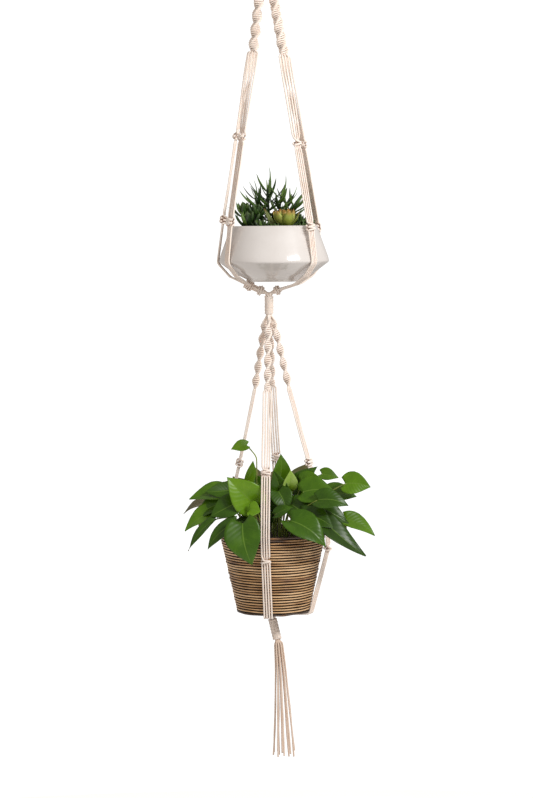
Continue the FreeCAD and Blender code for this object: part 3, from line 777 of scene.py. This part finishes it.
bowl_mesh = lathe("bowl", BOWL_OUTSIDE + BOWL_INSIDE, BOWL_X)
under = lathe("bowl_under", BOWL_UNDER + (BOWL_OUTSIDE[0],), BOWL_X)
glaze = gloss_glaze()
piece("glazed_bowl", bowl_mesh, glaze, "bowl_planting", ["bowl"])
piece("bowl_foot_ring", under, glaze, "bowl_planting", ["bowl"])


# Potting soil. Dark peat mix with a few pale grains of perlite, pressed down by hand round the plants.
def peat_soil():
    made, tree = surface("damp_peat_soil", Roughness=0.95)
    crumb = noise_in(tree, 260.0, 4.0)
    earth = ramp(tree, crumb, [(0.35, "#14100C"), (0.6, "#33261B"), (0.75, "#4A392A")])
    place = add(tree, "ShaderNodeTexCoord").outputs["Object"]
    cells = add(tree, "ShaderNodeTexVoronoi", {"Scale": 210.0}, Vector=place)
    perlite = ramp(tree, cells.outputs["Distance"], [(0.1, "#FFFFFF"), (0.14, "#000000")])
    return dressed(made, over(tree, perlite, earth, "#A39A8C"), crumb, 0.8, 0.002)


def soil_mesh(name, centre_x, radius, z, rise):
    """A round bed of soil with a crumbly top, a little higher in the middle."""
    bm = bmesh.new()
    rings = [[bm.verts.new(mm(centre_x, 0, z + rise))]]
    for n in range(1, 31):
        r = radius * n / 30
        ring = []
        for k in range(96):
            a = 2 * math.pi * k / 96
            x, y = r * math.cos(a), r * math.sin(a)
            bumps = 1.6 * noise.noise(Vector((x, y, z)) * 0.11) + 0.9 * noise.noise(Vector((x, y, z)) * 0.4)
            height = rise * (1 - (n / 30) ** 2) + bumps * (1 if n < 30 else 0)
            ring.append(bm.verts.new(mm(centre_x + x, y, z + height)))
        rings.append(ring)
    rings.append([bm.verts.new(v.co - Vector((0, 0, 9 * MM))) for v in rings[-1]])
    for k in range(96):
        bm.faces.new((rings[0][0], rings[1][k], rings[1][(k + 1) % 96]))
    join_rings(bm, rings[1:])
    bm.faces.new(list(reversed(rings[-1])))
    return mesh_from(bm, name)


BOWL_SOIL_Z = -607.0
soil = peat_soil()
piece("bowl_potting_soil", soil_mesh("bowl_soil", BOWL_X, 85.0, BOWL_SOIL_Z, 5.0), soil, "bowl_planting",
      ["bowl_soil"])


# Spiky succulents. Six stems of long, pointed, fleshy blades, deep green with a dull bloom. The blades
# leave the stem close together, arch outwards and turn up at their tips.
STEMS = (((-6, 2), (-12, -2, 88)), ((-12, -4), (-34, -10, 72)), ((2, -6), (16, -14, 74)),
         ((8, 4), (42, 6, 58)), ((-2, 10), (-14, 30, 70)), ((6, 12), (28, 34, 62)))
BLADES = 14
BLADE_L = 56.0
BLADE_W = 7.6


def value_layers(bm):
    return [bm.verts.layers.float.new(key) for key in ("along", "across", "tone")]


def in_bowl(x, y, lift):
    return Vector((BOWL_X + x, y, BOWL_SOIL_Z + lift))


def fleshy_leaf(bm, layers, base, way, up, length, width, thick, lift, tone, belly=0.4):
    """A thick pointed leaf: hollow on top, rounded below, widest at belly, with its tip lifted."""
    side = way.cross(up).normalized()
    face = side.cross(way).normalized()
    section = ((-1, 0.1), (-0.55, -0.1), (0, -0.22), (0.55, -0.1), (1, 0.1), (0.62, -0.62), (0, -1),
               (-0.62, -0.62))
    rings = []
    steps = 9
    for n in range(steps):
        share = n / steps
        swell = 0.4 + 0.6 * math.sin(math.pi / 2 * min(1, share / belly)) if share < belly else (
            math.cos(math.pi / 2 * (share - belly) / (1 - belly)) ** 0.8)
        spine = base + way * (length * share) + face * (lift * length * (share ** 2 - 0.5 * share))
        ring = []
        for x, y in section:
            vert = bm.verts.new((spine + side * (x * width / 2 * swell) + face * (y * thick * swell)) * MM)
            vert[layers[0]], vert[layers[1]], vert[layers[2]] = share, x, tone
            ring.append(vert)
        rings.append(ring)
    tip = bm.verts.new((base + way * length + face * (lift * length * 0.5)) * MM)
    tip[layers[0]], tip[layers[1]], tip[layers[2]] = 1.0, 0.0, tone
    join_rings(bm, rings)
    for k in range(8):
        bm.faces.new((rings[-1][k], rings[-1][(k + 1) % 8], tip))
    bm.faces.new(list(reversed(rings[0])))


def layer(tree, key):
    """The value that a mesh carries in one of its layers."""
    return add(tree, "ShaderNodeAttribute", {"attribute_name": key}).outputs["Fac"]


def scaled_sum(tree, value, scale, other):
    """A value times a scale, plus another value."""
    made = add(tree, "ShaderNodeMath", {"operation": "MULTIPLY_ADD"}, i0=value, i2=other)
    made.inputs[1].default_value = scale
    return made.outputs["Value"]


def leaf_flesh(name, stops, tip_colour, tip_from):
    """Fleshy leaf skin: waxy and half dull, each leaf a little different, sun-tinted towards its tip."""
    made, tree = surface(name, Roughness=0.42, Subsurface_Weight=0.08,
                         Subsurface_Radius=(0.0015, 0.003, 0.0008))
    blotch = noise_in(tree, 120.0, 3.0)
    body = ramp(tree, scaled_sum(tree, blotch, 0.4, layer(tree, "tone")), stops)
    sunned = ramp(tree, layer(tree, "along"), [(tip_from, "#000000"), (1.0, "#FFFFFF")])
    return dressed(made, over(tree, sunned, body, tip_colour), blotch, 0.2, 0.0005)


dark_flesh = leaf_flesh("dark_fleshy_leaf", [(0.15, "#1A2C11"), (0.55, "#36531F"), (1.0, "#6A8A3C")],
                        "#4A6030", 0.75)
pale_flesh = leaf_flesh("pale_fleshy_leaf", [(0.15, "#74842A"), (0.6, "#96A242"), (1.0, "#B8BE62")],
                        "#A2642F", 0.74)
plant_rng = random.Random(7)
spiky = bmesh.new()
layers = value_layers(spiky)
for (foot_x, foot_y), tip_at in STEMS:
    foot, tip_point = in_bowl(foot_x, foot_y, -4), in_bowl(*tip_at)
    stem = tip_point - foot
    for k in range(BLADES):
        share = 0.26 + 0.74 * k / (BLADES - 1)
        a = 2.4 * k + plant_rng.uniform(-0.3, 0.3)
        around = Vector((math.cos(a), math.sin(a), 0))
        opening = (1.5 - 0.72 * share if k < BLADES - 1 else 0.2) + plant_rng.uniform(-0.12, 0.12)
        way = (stem.normalized() * math.cos(opening) + around * math.sin(opening)).normalized()
        base = foot + stem * share + around * 1.0
        size = BLADE_L * (0.74 + 0.26 * math.sin(math.pi * share)) * plant_rng.uniform(0.85, 1.08)
        fleshy_leaf(spiky, layers, base, way, -around + stem.normalized() * 0.3, size, BLADE_W, 1.9,
                    plant_rng.uniform(0.16, 0.46), plant_rng.uniform(0, 0.9), belly=0.3)
    middle = foot.lerp(tip_point, 0.5) + Vector((0, 0, 2))
    line = eased([p * MM for p in (foot, middle, tip_point)], 4 * MM, 2)
    ply_tube(spiky, line, diameter=4.2 * MM, depth=0.02, lay=60 * MM)
fleshy_leaf(spiky, layers, in_bowl(-48, -6, 28), Vector((-0.86, -0.05, 0.5)).normalized(), UP,
            54.0, 4.4, 1.4, 0.1, 0.1, belly=0.3)
piece("spiky_leaves", mesh_from(spiky, "spiky_leaves"), dark_flesh, "bowl_planting", ["spiky_stems"])


# Rosettes. Hen-and-chicks succulents: fleshy pointed leaves packed in a spiral, upright in the middle
# and spread at the outside. One is pale with browned tips, the others are dark.
def rosette(bm, layers, centre, size, count, width, rng, upright=0.5):
    for k in range(count):
        share = (k + 0.5) / count
        a = 2.39996 * k
        around = Vector((math.cos(a), math.sin(a), 0))
        rise = 1.35 - (1.1 - upright * 0.5) * share
        way = (around * math.cos(rise) + UP * math.sin(rise)).normalized()
        length = size * (0.42 + 0.62 * share ** 0.7) * rng.uniform(0.93, 1.05)
        base = centre + around * (size * 0.1 * share) - UP * (size * 0.3 * share)
        fleshy_leaf(bm, layers, base, way, UP - around * 0.5, length, width * (0.55 + 0.5 * share),
                    size * 0.13, rng.uniform(0.2, 0.4), rng.uniform(0, 0.8), belly=0.5)
    foot = Vector((centre.x, centre.y, BOWL_SOIL_Z))
    stem = [foot * MM, foot.lerp(centre, 0.5) * MM, (centre - UP * size * 0.1) * MM]
    ply_tube(bm, stem, diameter=size * 0.3 * MM, depth=0.02, lay=80 * MM)


pale = bmesh.new()
layers = value_layers(pale)
rosette(pale, layers, in_bowl(23, -40, 25), 40.0, 24, 20.0, plant_rng, 1.0)
piece("pale_rosette_leaves", mesh_from(pale, "pale_rosette"), pale_flesh, "bowl_planting", ["pale_rosette"])
DARK_ROSETTES = ((-47, -30, 25, 31), (-24, -55, 14, 22), (66, -4, 16, 20), (-48, 22, 24, 29),
                 (48, 40, 22, 26), (-56, -4, 44, 29), (-34, -14, 40, 28), (4, -52, 8, 20),
                 (58, -34, 10, 17), (10, 52, 18, 24))
dark = bmesh.new()
layers = value_layers(dark)
for x, y, lift, size in DARK_ROSETTES:
    rosette(dark, layers, in_bowl(x, y, lift), size * 1.2, 19, size * 0.36, plant_rng, 0.8)
piece("dark_rosette_leaves", mesh_from(dark, "dark_rosettes"), dark_flesh, "bowl_planting", ["dark_rosettes"])
blade = bmesh.new()
layers = value_layers(blade)
blade_face = Vector((0.1, -1, 0.2))
fleshy_leaf(blade, layers, in_bowl(9, -36, -3), Vector((-0.5, -0.1, 1)).normalized(), blade_face,
            62.0, 12.0, 1.8, -0.12, 0.1, belly=0.3)
fleshy_leaf(blade, layers, in_bowl(13, -30, -3), Vector((-0.1, 0.1, 1)).normalized(), blade_face,
            44.0, 10.0, 1.8, -0.1, 0.0, belly=0.3)
olive_flesh = leaf_flesh("olive_fleshy_leaf", [(0.2, "#55611E"), (0.8, "#87933A")], "#6A3A24", 0.8)
piece("yellow_leaf_blade", mesh_from(blade, "yellow_blade"), olive_flesh, "bowl_planting", ["yellow_blade"])


# Basket. Split rattan coiled up from the base, one strip over the other, bound to a core coloured near-black
# as painted shade in the gaps between the coils; the strips' edges are painted darker, as the shade where
# they meet. The strips differ in width and colour, the bark side is left on some, and the last turns are
# darkest.
COILS = 30
COIL_SEGMENTS = 200
BASKET_WALL = 6.0


def split_rattan():
    made, tree = surface("split_rattan_strip", Roughness=0.48, Coat_Weight=0.2, Coat_Roughness=0.35)
    streak = noise_in(tree, 1.0, 4.0, (26.0, 26.0, 420.0), Roughness=0.65)
    cane = ramp(tree, scaled_sum(tree, streak, 0.9, layer(tree, "tone")),
                [(0.3, "#E2BA8A"), (0.6, "#C29662"), (0.82, "#8A5F37"), (1.0, "#38240F")])
    # Painted shade: each strip darkens towards its upper and lower edges, where it meets the next coil.
    edge = ramp(tree, layer(tree, "across"), [(0.4, "#000000"), (0.9, "#FFFFFF")])
    fibre = noise_in(tree, 1.0, 3.0, (60.0, 60.0, 2600.0))
    return dressed(made, over(tree, edge, cane, "#2C1C12"), fibre, 0.5, 0.0006)


basket_rng = random.Random(23)
coils = bmesh.new()
layers = value_layers(coils)
coil_h = (BASKET_TOP - BASKET_BASE) / COILS
STRIP_SECTION = ((0, 0.98), (0.62, 0.86), (0.95, 0.45), (1.06, 0), (0.95, -0.45), (0.62, -0.86), (0, -0.98),
                 (-0.8, -0.6), (-0.8, 0.6))
for k in range(COILS):
    high = k / (COILS - 1)
    height = coil_h * basket_rng.uniform(0.58, 0.8)
    proud = basket_rng.uniform(-0.5, 0.5)
    tone = basket_rng.uniform(-0.3, 0.3) + (0.34 if high > 0.86 else 0) + (0.12 if k < 2 else 0)
    if basket_rng.random() < 0.14:
        tone += 0.3
    start = basket_rng.uniform(0, 2 * math.pi)
    rings = []
    for n in range(COIL_SEGMENTS):
        a = start + 2 * math.pi * n / COIL_SEGMENTS
        drift = noise.noise(Vector((math.cos(a) * 2.1, math.sin(a) * 2.1, k * 5.3)))
        pinch = 1 + 0.22 * noise.noise(Vector((math.cos(a) * 4, math.sin(a) * 4, k * 3.1)))
        z = BASKET_BASE + (k + 0.5) * coil_h + drift * (0.9 if k else 1.6)
        r = basket_radius(z) - 0.7 + proud + 0.7 * drift
        out = Vector((math.cos(a), math.sin(a), 0))
        ring = []
        for x, y in STRIP_SECTION:
            spot = out * (r + x * 1.7) + Vector((BASKET_X, 0, z + y * height / 2 * pinch))
            vert = coils.verts.new(spot * MM)
            vert[layers[0]] = n / COIL_SEGMENTS
            vert[layers[1]] = abs(y)
            vert[layers[2]] = tone + 0.28 * drift
            ring.append(vert)
        rings.append(ring)
    join_rings(coils, rings, closed=True)
rattan = split_rattan()
piece("rattan_coils", mesh_from(coils, "rattan_coils"), rattan, "lower_cradle", ["basket"])

INNER_TOP_R = BASKET_R - 1.1 - BASKET_WALL
core_profile = ((0, BASKET_BASE + 0.6), (BASKET_BASE_R - 2.6, BASKET_BASE + 0.6),
                (BASKET_R - 2.6, BASKET_TOP - 1.5), (BASKET_R - 3.4, BASKET_TOP - 0.7),
                (INNER_TOP_R + 0.8, BASKET_TOP - 0.7),
                (INNER_TOP_R, BASKET_TOP - 1.5), (BASKET_BASE_R - BASKET_WALL, BASKET_BASE + BASKET_WALL),
                (0, BASKET_BASE + BASKET_WALL))


# Painted shade: the core is coloured near-black so that the gaps between the coils read dark.
def dark_core():
    made, tree = surface("rattan_core_painted_shade", Roughness=0.8)
    grain = noise_in(tree, 1.0, 4.0, (20.0, 20.0, 700.0))
    return dressed(made, ramp(tree, grain, [(0.35, "#1C120B"), (0.7, "#4A3220")]), grain, 0.6, 0.001)


piece("basket_core", lathe("basket_core", core_profile, BASKET_X, 120), dark_core(), "lower_cradle",
      ["basket"])


# Nursery pot and its soil. The thin black moulded pot that the plant was grown in stands in the basket.
def mottled(name, scale, detail, stops, **settings):
    """A material whose only pattern is a soft mottling between two or three colours."""
    made, tree = surface(name, **settings)
    return dressed(made, ramp(tree, noise_in(tree, scale, detail), stops))


moulded_black = mottled("moulded_black_polypropylene", 90.0, 4.0, [(0.4, "#101010"), (0.75, "#2A2A29")],
                        Roughness=0.5)
coat_node("nursery_pot", moulded_black)
POT_SOIL_Z = -1202.0
piece("pot_potting_soil", soil_mesh("pot_soil", BASKET_X, 88.0, POT_SOIL_Z, 3.0), soil, "lower_cradle",
      ["pot_soil"])


# Trailing plant. A golden pothos: glossy heart-shaped leaves, creased along the midrib and arched,
# each on its own stalk. The lower ones hang over the rim, and some show their paler undersides.
LEAVES = (
    ((-31, -62, -1129), (-85, -74, -1073), 66, (-0.3, -1, 0.35), 0.78),
    ((-41, -86, -1135), (-20, -92, -1139), 34, (-0.1, -1, 0.5), 0.75),
    ((-55, -104, -1159), (-37, -116, -1239), 72, (-0.1, -1, 0.25), 0.35),
    ((-92, -6, -1111), (-160, -14, -1122), 50, (-0.2, -0.75, 0.9), 0.5),
    ((-107, -38, -1143), (-168, -52, -1180), 46, (-0.5, -0.8, 0.7), 0.6),
    ((-108, -68, -1155), (-161, -80, -1215), 22, (-0.6, -0.8, 0.5), 0.2),
    ((-69, -86, -1161), (-123, -100, -1210), 32, (-0.5, -1, 0.4), 0.2),
    ((-58, -34, -1126), (-97, -58, -1151), 44, (-0.2, -0.9, 0.8), 0.15),
    ((-46, 6, -1019), (-78, 4, -1027), 24, (0, -1, 0.5), 0.7),
    ((-44, -20, -1088), (-34, -24, -1046), 22, (0.3, -1, 0.2), 0.7),
    ((16, 16, -1096), (20, 10, -1036), 40, (0.35, -1, 0.1), 0.55),
    ((34, -26, -1101), (38, -34, -1064), 30, (0.2, -1, 0.3), 1.15),
    ((44, -10, -1109), (91, -34, -1058), 40, (0.1, -1, 0.4), 0.35),
    ((14, -40, -1105), (30, -54, -1145), 44, (0.1, -1, 0.5), 0.2),
    ((61, -52, -1106), (124, -62, -1105), 56, (0.1, -1, 0.6), 0.45),
    ((90, -82, -1118), (149, -88, -1129), 44, (0.1, -1, 0.5), 0.25),
    ((100, 18, -1078), (134, 14, -1086), 30, (0.1, -0.8, 0.7), 0.5),
    ((144, -46, -1091), (194, -50, -1098), 46, (0.2, -1, 0.3), 0.65),
    ((146, 14, -1168), (204, 10, -1201), 42, (0.5, -0.8, 0.5), 0.6),
    ((96, -76, -1154), (182, -88, -1227), 48, (0.6, -0.9, 0.5), 0.1),
    ((37, -96, -1156), (105, -116, -1206), 60, (0.25, -1, 0.6), 0.35),
    ((8, -62, -1148), (43, -72, -1133), 28, (0, -0.8, 0.9), 0.3),
    ((50, 94, -1150), (86, 112, -1214), 58, (0.2, 1, 0.5), 0.5),
    ((-38, 82, -1136), (-76, 100, -1090), 60, (-0.2, 1, 0.4), 0.6),
    ((88, 66, -1120), (146, 94, -1136), 56, (0.4, 0.8, 0.7), 0.4),
    ((-104, 84, -1150), (-146, 118, -1200), 52, (-0.5, 0.8, 0.6), 0.5),
    ((-118, 30, -1134), (-174, 42, -1158), 48, (-0.4, 0.5, 0.9), 0.4),
    ((-34, 108, -1172), (-54, 122, -1238), 56, (-0.2, 1, 0.4), 0.4),
    ((48, 40, -1100), (76, 60, -1060), 42, (0.2, 1, 0.3), 0.5),
    ((-24, 44, -1102), (-36, 62, -1064), 40, (-0.2, 1, 0.3), 0.6),
    ((104, 58, -1166), (150, 78, -1218), 50, (0.5, 0.7, 0.6), 0.3),
    ((-66, -60, -1124), (-118, -66, -1150), 50, (-0.3, -1, 0.6), 0.25),
    ((-40, -70, -1160), (-78, -92, -1196), 44, (-0.3, -1, 0.5), 0.1),
    ((40, -50, -1130), (84, -66, -1160), 50, (0.1, -1, 0.6), 0.15),
    ((60, -30, -1090), (104, -40, -1086), 46, (0.1, -1, 0.5), 0.5),
    ((20, -20, -1120), (6, -30, -1066), 40, (-0.2, -1, 0.2), 0.3),
    ((84, -40, -1136), (150, -50, -1168), 46, (0.4, -1, 0.6), 0.2),
    ((60, -70, -1146), (120, -92, -1172), 52, (0.2, -1, 0.5), 0.2),
    ((-14, 10, -1110), (-40, 4, -1076), 38, (-0.2, -1, 0.3), 0.35),
    ((-90, -30, -1130), (-146, -34, -1162), 48, (-0.4, -0.8, 0.8), 0.3),
    ((-76, -10, -1104), (-128, -26, -1106), 40, (-0.2, -0.9, 0.6), 0.3),
    ((-60, 50, -1116), (-112, 66, -1112), 52, (-0.4, 0.7, 0.8), 0.5),
    ((66, 70, -1130), (112, 92, -1172), 54, (0.3, 1, 0.6), 0.3),
    ((4, 84, -1124), (12, 108, -1174), 58, (0, 1, 0.5), 0.5),
    ((10, 60, -1108), (34, 78, -1072), 44, (0.1, 1, 0.4), 0.6),
    ((112, -6, -1112), (168, -20, -1120), 48, (0.2, -0.8, 0.7), 0.4),
    ((-12, 40, -1136), (8, 54, -1190), 54, (0, -1, 0.3), 0.1),
    ((30, 48, -1124), (-6, 58, -1172), 50, (0.1, -1, 0.4), 0.15),
)
LEAF_T = 0.55
LEAF_ROWS = 18
LEAF_COLUMNS = 14
STALK_D = 2.6
VEIN_PAIRS = 9
VEIN_SLANT = -0.28


def half_width(share):
    """Half the width of a heart-shaped leaf, as a part of its full width, from stalk to tip."""
    stops = ((0, 0.24), (0.08, 0.4), (0.2, 0.485), (0.34, 0.5), (0.5, 0.44), (0.66, 0.32), (0.8, 0.19),
             (0.92, 0.07), (1, 0))
    for (a, wide), (b, narrow) in zip(stops, stops[1:]):
        if share <= b:
            t = (share - a) / (b - a)
            return wide + (narrow - wide) * t
    return 0.0


def pothos_leaf(bm, layers, base, tip, width, face, tone, rng):
    ahead = tip - base
    length = ahead.length
    ahead.normalize()
    normal = (face - ahead * face.dot(ahead)).normalized()
    side = normal.cross(ahead)
    fold = rng.uniform(0.16, 0.42)
    arch = rng.uniform(0.05, 0.14)
    twist = rng.uniform(-0.25, 0.25)
    phase = rng.uniform(0, 6)
    sweep = rng.uniform(-0.07, 0.07)
    grids = []
    for face_up in (0, 1):
        grid = []
        for n in range(LEAF_ROWS + 1):
            share = n / LEAF_ROWS
            row = []
            for c in range(LEAF_COLUMNS + 1):
                u = 2 * c / LEAF_COLUMNS - 1
                lobe = 0.17 * abs(u) ** 1.3 * (1 - share) ** 3
                x = u * half_width(share) * width
                lean = twist * share
                wave = 0.02 * length * math.sin(7 * share + phase + 1.5 * u) * u * u
                rise = fold * abs(x) + arch * length * 4 * share * (1 - share) * (1 - 0.3 * u * u) + wave
                vein = abs(math.sin(math.pi * (8 * share - 2.2 * abs(u))))
                rise -= 0.006 * length * vein * (1 - abs(u)) * 0.6
                spot = (base + ahead * (length * (share - lobe)) + side * (x * math.cos(lean) + sweep * length
                        * share * (1 - share) * 4) + normal * (rise + x * math.sin(lean) - LEAF_T * face_up))
                vert = bm.verts.new(spot * MM)
                vert[layers[0]], vert[layers[1]] = share, u
                vert[layers[2]] = tone / 2
                row.append(vert)
            grid.append(row)
        grids.append(grid)
    top, under = grids
    for n in range(LEAF_ROWS):
        for c in range(LEAF_COLUMNS):
            bm.faces.new((top[n][c], top[n][c + 1], top[n + 1][c + 1], top[n + 1][c]))
            below = bm.faces.new((under[n][c + 1], under[n][c], under[n + 1][c], under[n + 1][c + 1]))
            below.material_index = 1
        for c, flip in ((0, False), (LEAF_COLUMNS, True)):
            quad = (top[n][c], top[n + 1][c], under[n + 1][c], under[n][c])
            bm.faces.new(quad if not flip else tuple(reversed(quad)))
    for c in range(LEAF_COLUMNS):
        bm.faces.new((top[0][c + 1], top[0][c], under[0][c], under[0][c + 1]))
        bm.faces.new((top[-1][c], top[-1][c + 1], under[-1][c + 1], under[-1][c]))


def glossy_leaf():
    made, tree = surface("glossy_pothos_leaf", Roughness=0.36, Coat_Weight=0.1, Coat_Roughness=0.2,
                         Specular_IOR_Level=0.22)
    tone, along, across = [layer(tree, key) for key in ("tone", "along", "across")]
    body = ramp(tree, scaled_sum(tree, noise_in(tree, 38.0, 4.0), 0.25, tone),
                [(0.12, "#1E3405"), (0.3, "#375A07"), (0.5, "#5A820D"), (0.66, "#789C20"), (0.92, "#CBD2A2")])
    off_rib = add(tree, "ShaderNodeMath", {"operation": "ABSOLUTE"}, i0=across).outputs["Value"]
    ribbed = over(tree, ramp(tree, off_rib, [(0.0, "#FFFFFF"), (0.045, "#000000")]), body, "#62802C")
    slant = scaled_sum(tree, off_rib, VEIN_SLANT, along)
    streak_at = add(tree, "ShaderNodeCombineXYZ", X=slant, Y=off_rib, Z=tone).outputs["Vector"]
    streak = noise_in(tree, 1.0, 2.0, (34.0, 2.2, 90.0), streak_at)
    pale = ramp(tree, streak, [(0.62, "#000000"), (0.76, "#C0C0C0")])
    amount = add(tree, "ShaderNodeMath", {"operation": "MULTIPLY"}, i0=pale, i1=tone).outputs["Value"]
    veins = add(tree, "ShaderNodeMath", {"operation": "MULTIPLY"}, i0=slant)
    veins.inputs[1].default_value = 2 * math.pi * VEIN_PAIRS
    wave = add(tree, "ShaderNodeMath", {"operation": "SINE"}, i0=veins.outputs["Value"]).outputs["Value"]
    return dressed(made, over(tree, amount, ribbed, "#93A653"), wave, 0.14, 0.0006)


# The underside is dull, paler and browner than the face; the stalks are smooth and yellow-green.
pothos_underside = mottled("pothos_leaf_underside", 26.0, 3.0,
                           [(0.35, "#4A4E20"), (0.55, "#6B6440"), (0.7, "#8C7E62")],
                           Roughness=0.62, Specular_IOR_Level=0.3)
stalk_skin = mottled("pothos_stalk_skin", 30.0, 3.0, [(0.35, "#5A6E22"), (0.7, "#98A64C")], Roughness=0.45)
STALK_BENDS = {8: Vector((-27, 2, -1042))}
leaf_rng = random.Random(101)
foliage = bmesh.new()
layers = value_layers(foliage)
stalks = bmesh.new()
for n, (base, tip, width, face, tone) in enumerate(LEAVES):
    base, tip, face = Vector(base), Vector(tip), Vector(face)
    pothos_leaf(foliage, layers, base, tip, width, face, tone, leaf_rng)
    outward = Vector((base.x, base.y, 0))
    foot = outward.normalized() * min(52, 12 + outward.length * 0.36) + Vector((0, 0, POT_SOIL_Z - 2))
    elbow = STALK_BENDS.get(n, foot.lerp(base, 0.55) + UP * (6 + 0.14 * outward.length))
    end = base + (tip - base).normalized() * 3
    line = eased([p * MM for p in (foot, foot + UP * 16, elbow, base, end)], 3 * MM, 6)
    ply_tube(stalks, line, diameter=STALK_D * MM, depth=0.05, lay=90 * MM)
leaves = piece("pothos_leaves", mesh_from(foliage, "pothos_leaves"), glossy_leaf(), "lower_cradle",
               ["trailing_leaves"])
leaves.data.materials.append(pothos_underside)


piece("pothos_stalks", mesh_from(stalks, "pothos_stalks"), stalk_skin, "lower_cradle", ["leaf_stalks"])


# Floor. A round of plain pale floor under the hanging planter.
FLOOR_Z = -2.46
FLOOR_R = 5.0
FLOOR_Y = -1.94


pale_floor = mottled("pale_painted_floor", 3.0, 3.0, [(0.3, "#F2EEEC"), (0.7, "#F6F3F1")], Roughness=0.7,
                     Emission_Strength=0.45, Emission_Color=(1, 1, 1, 1))
floor_bm = bmesh.new()
bmesh.ops.create_circle(floor_bm, cap_ends=True, segments=128, radius=FLOOR_R)
floor = piece("floor", mesh_from(floor_bm, "floor"), pale_floor, None)
floor.location = (0, FLOOR_Y, FLOOR_Z)
floor.visible_diffuse = False          # it is far below, and throws no light up on the pots


# Light. A large soft box high on the right, in front, a weaker one low on the left, and an even pale
# surround.
LAMPS = {                  # place, height it is aimed at, power, width, height, seen in the glaze
    "key": ((1.93, -2.01, 0.69), -0.85, 74.0, 1.2, 0.46, True),
    "fill": ((-1.2, -2.0, -1.8), -1.4, 9.0, 1.8, 1.8, False),
    "rim": ((0.9, 2.4, 0.3), -0.85, 18.0, 1.4, 1.4, False),
}
for lamp_name, (lamp_at, aim_z, power, wide, high, mirrored) in LAMPS.items():
    lamp = bpy.data.objects.new(lamp_name, bpy.data.lights.new(lamp_name, "AREA"))
    lamp.data.energy = power
    lamp.data.shape = "RECTANGLE"
    lamp.data.size = wide
    lamp.data.size_y = high
    lamp.visible_glossy = mirrored
    lamp.location = lamp_at
    lamp.rotation_euler = (Vector((0, 0, aim_z)) - Vector(lamp_at)).to_track_quat("-Z", "Y").to_euler()
    scene.collection.objects.link(lamp)

# The surround lights everything evenly and a little warm; looked at directly it is plain white.
world = bpy.data.worlds.new("pale_surround")
world.use_nodes = True
scene.world = world
surround = world.node_tree
lit = surround.nodes["Background"]
lit.inputs["Color"].default_value = linear("#FFF8F2")
lit.inputs["Strength"].default_value = 0.54
seen = add(surround, "ShaderNodeBackground", {"Strength": 1.15})
sight = add(surround, "ShaderNodeLightPath").outputs["Is Camera Ray"]
either = add(surround, "ShaderNodeMixShader", Fac=sight)
surround.links.new(lit.outputs["Background"], either.inputs[1])
surround.links.new(seen.outputs["Background"], either.inputs[2])
surround.links.new(either.outputs["Shader"], surround.nodes["World Output"].inputs["Surface"])
seen.inputs["Color"].default_value = (1, 1, 1, 1)
scene.view_settings.view_transform = "Standard"
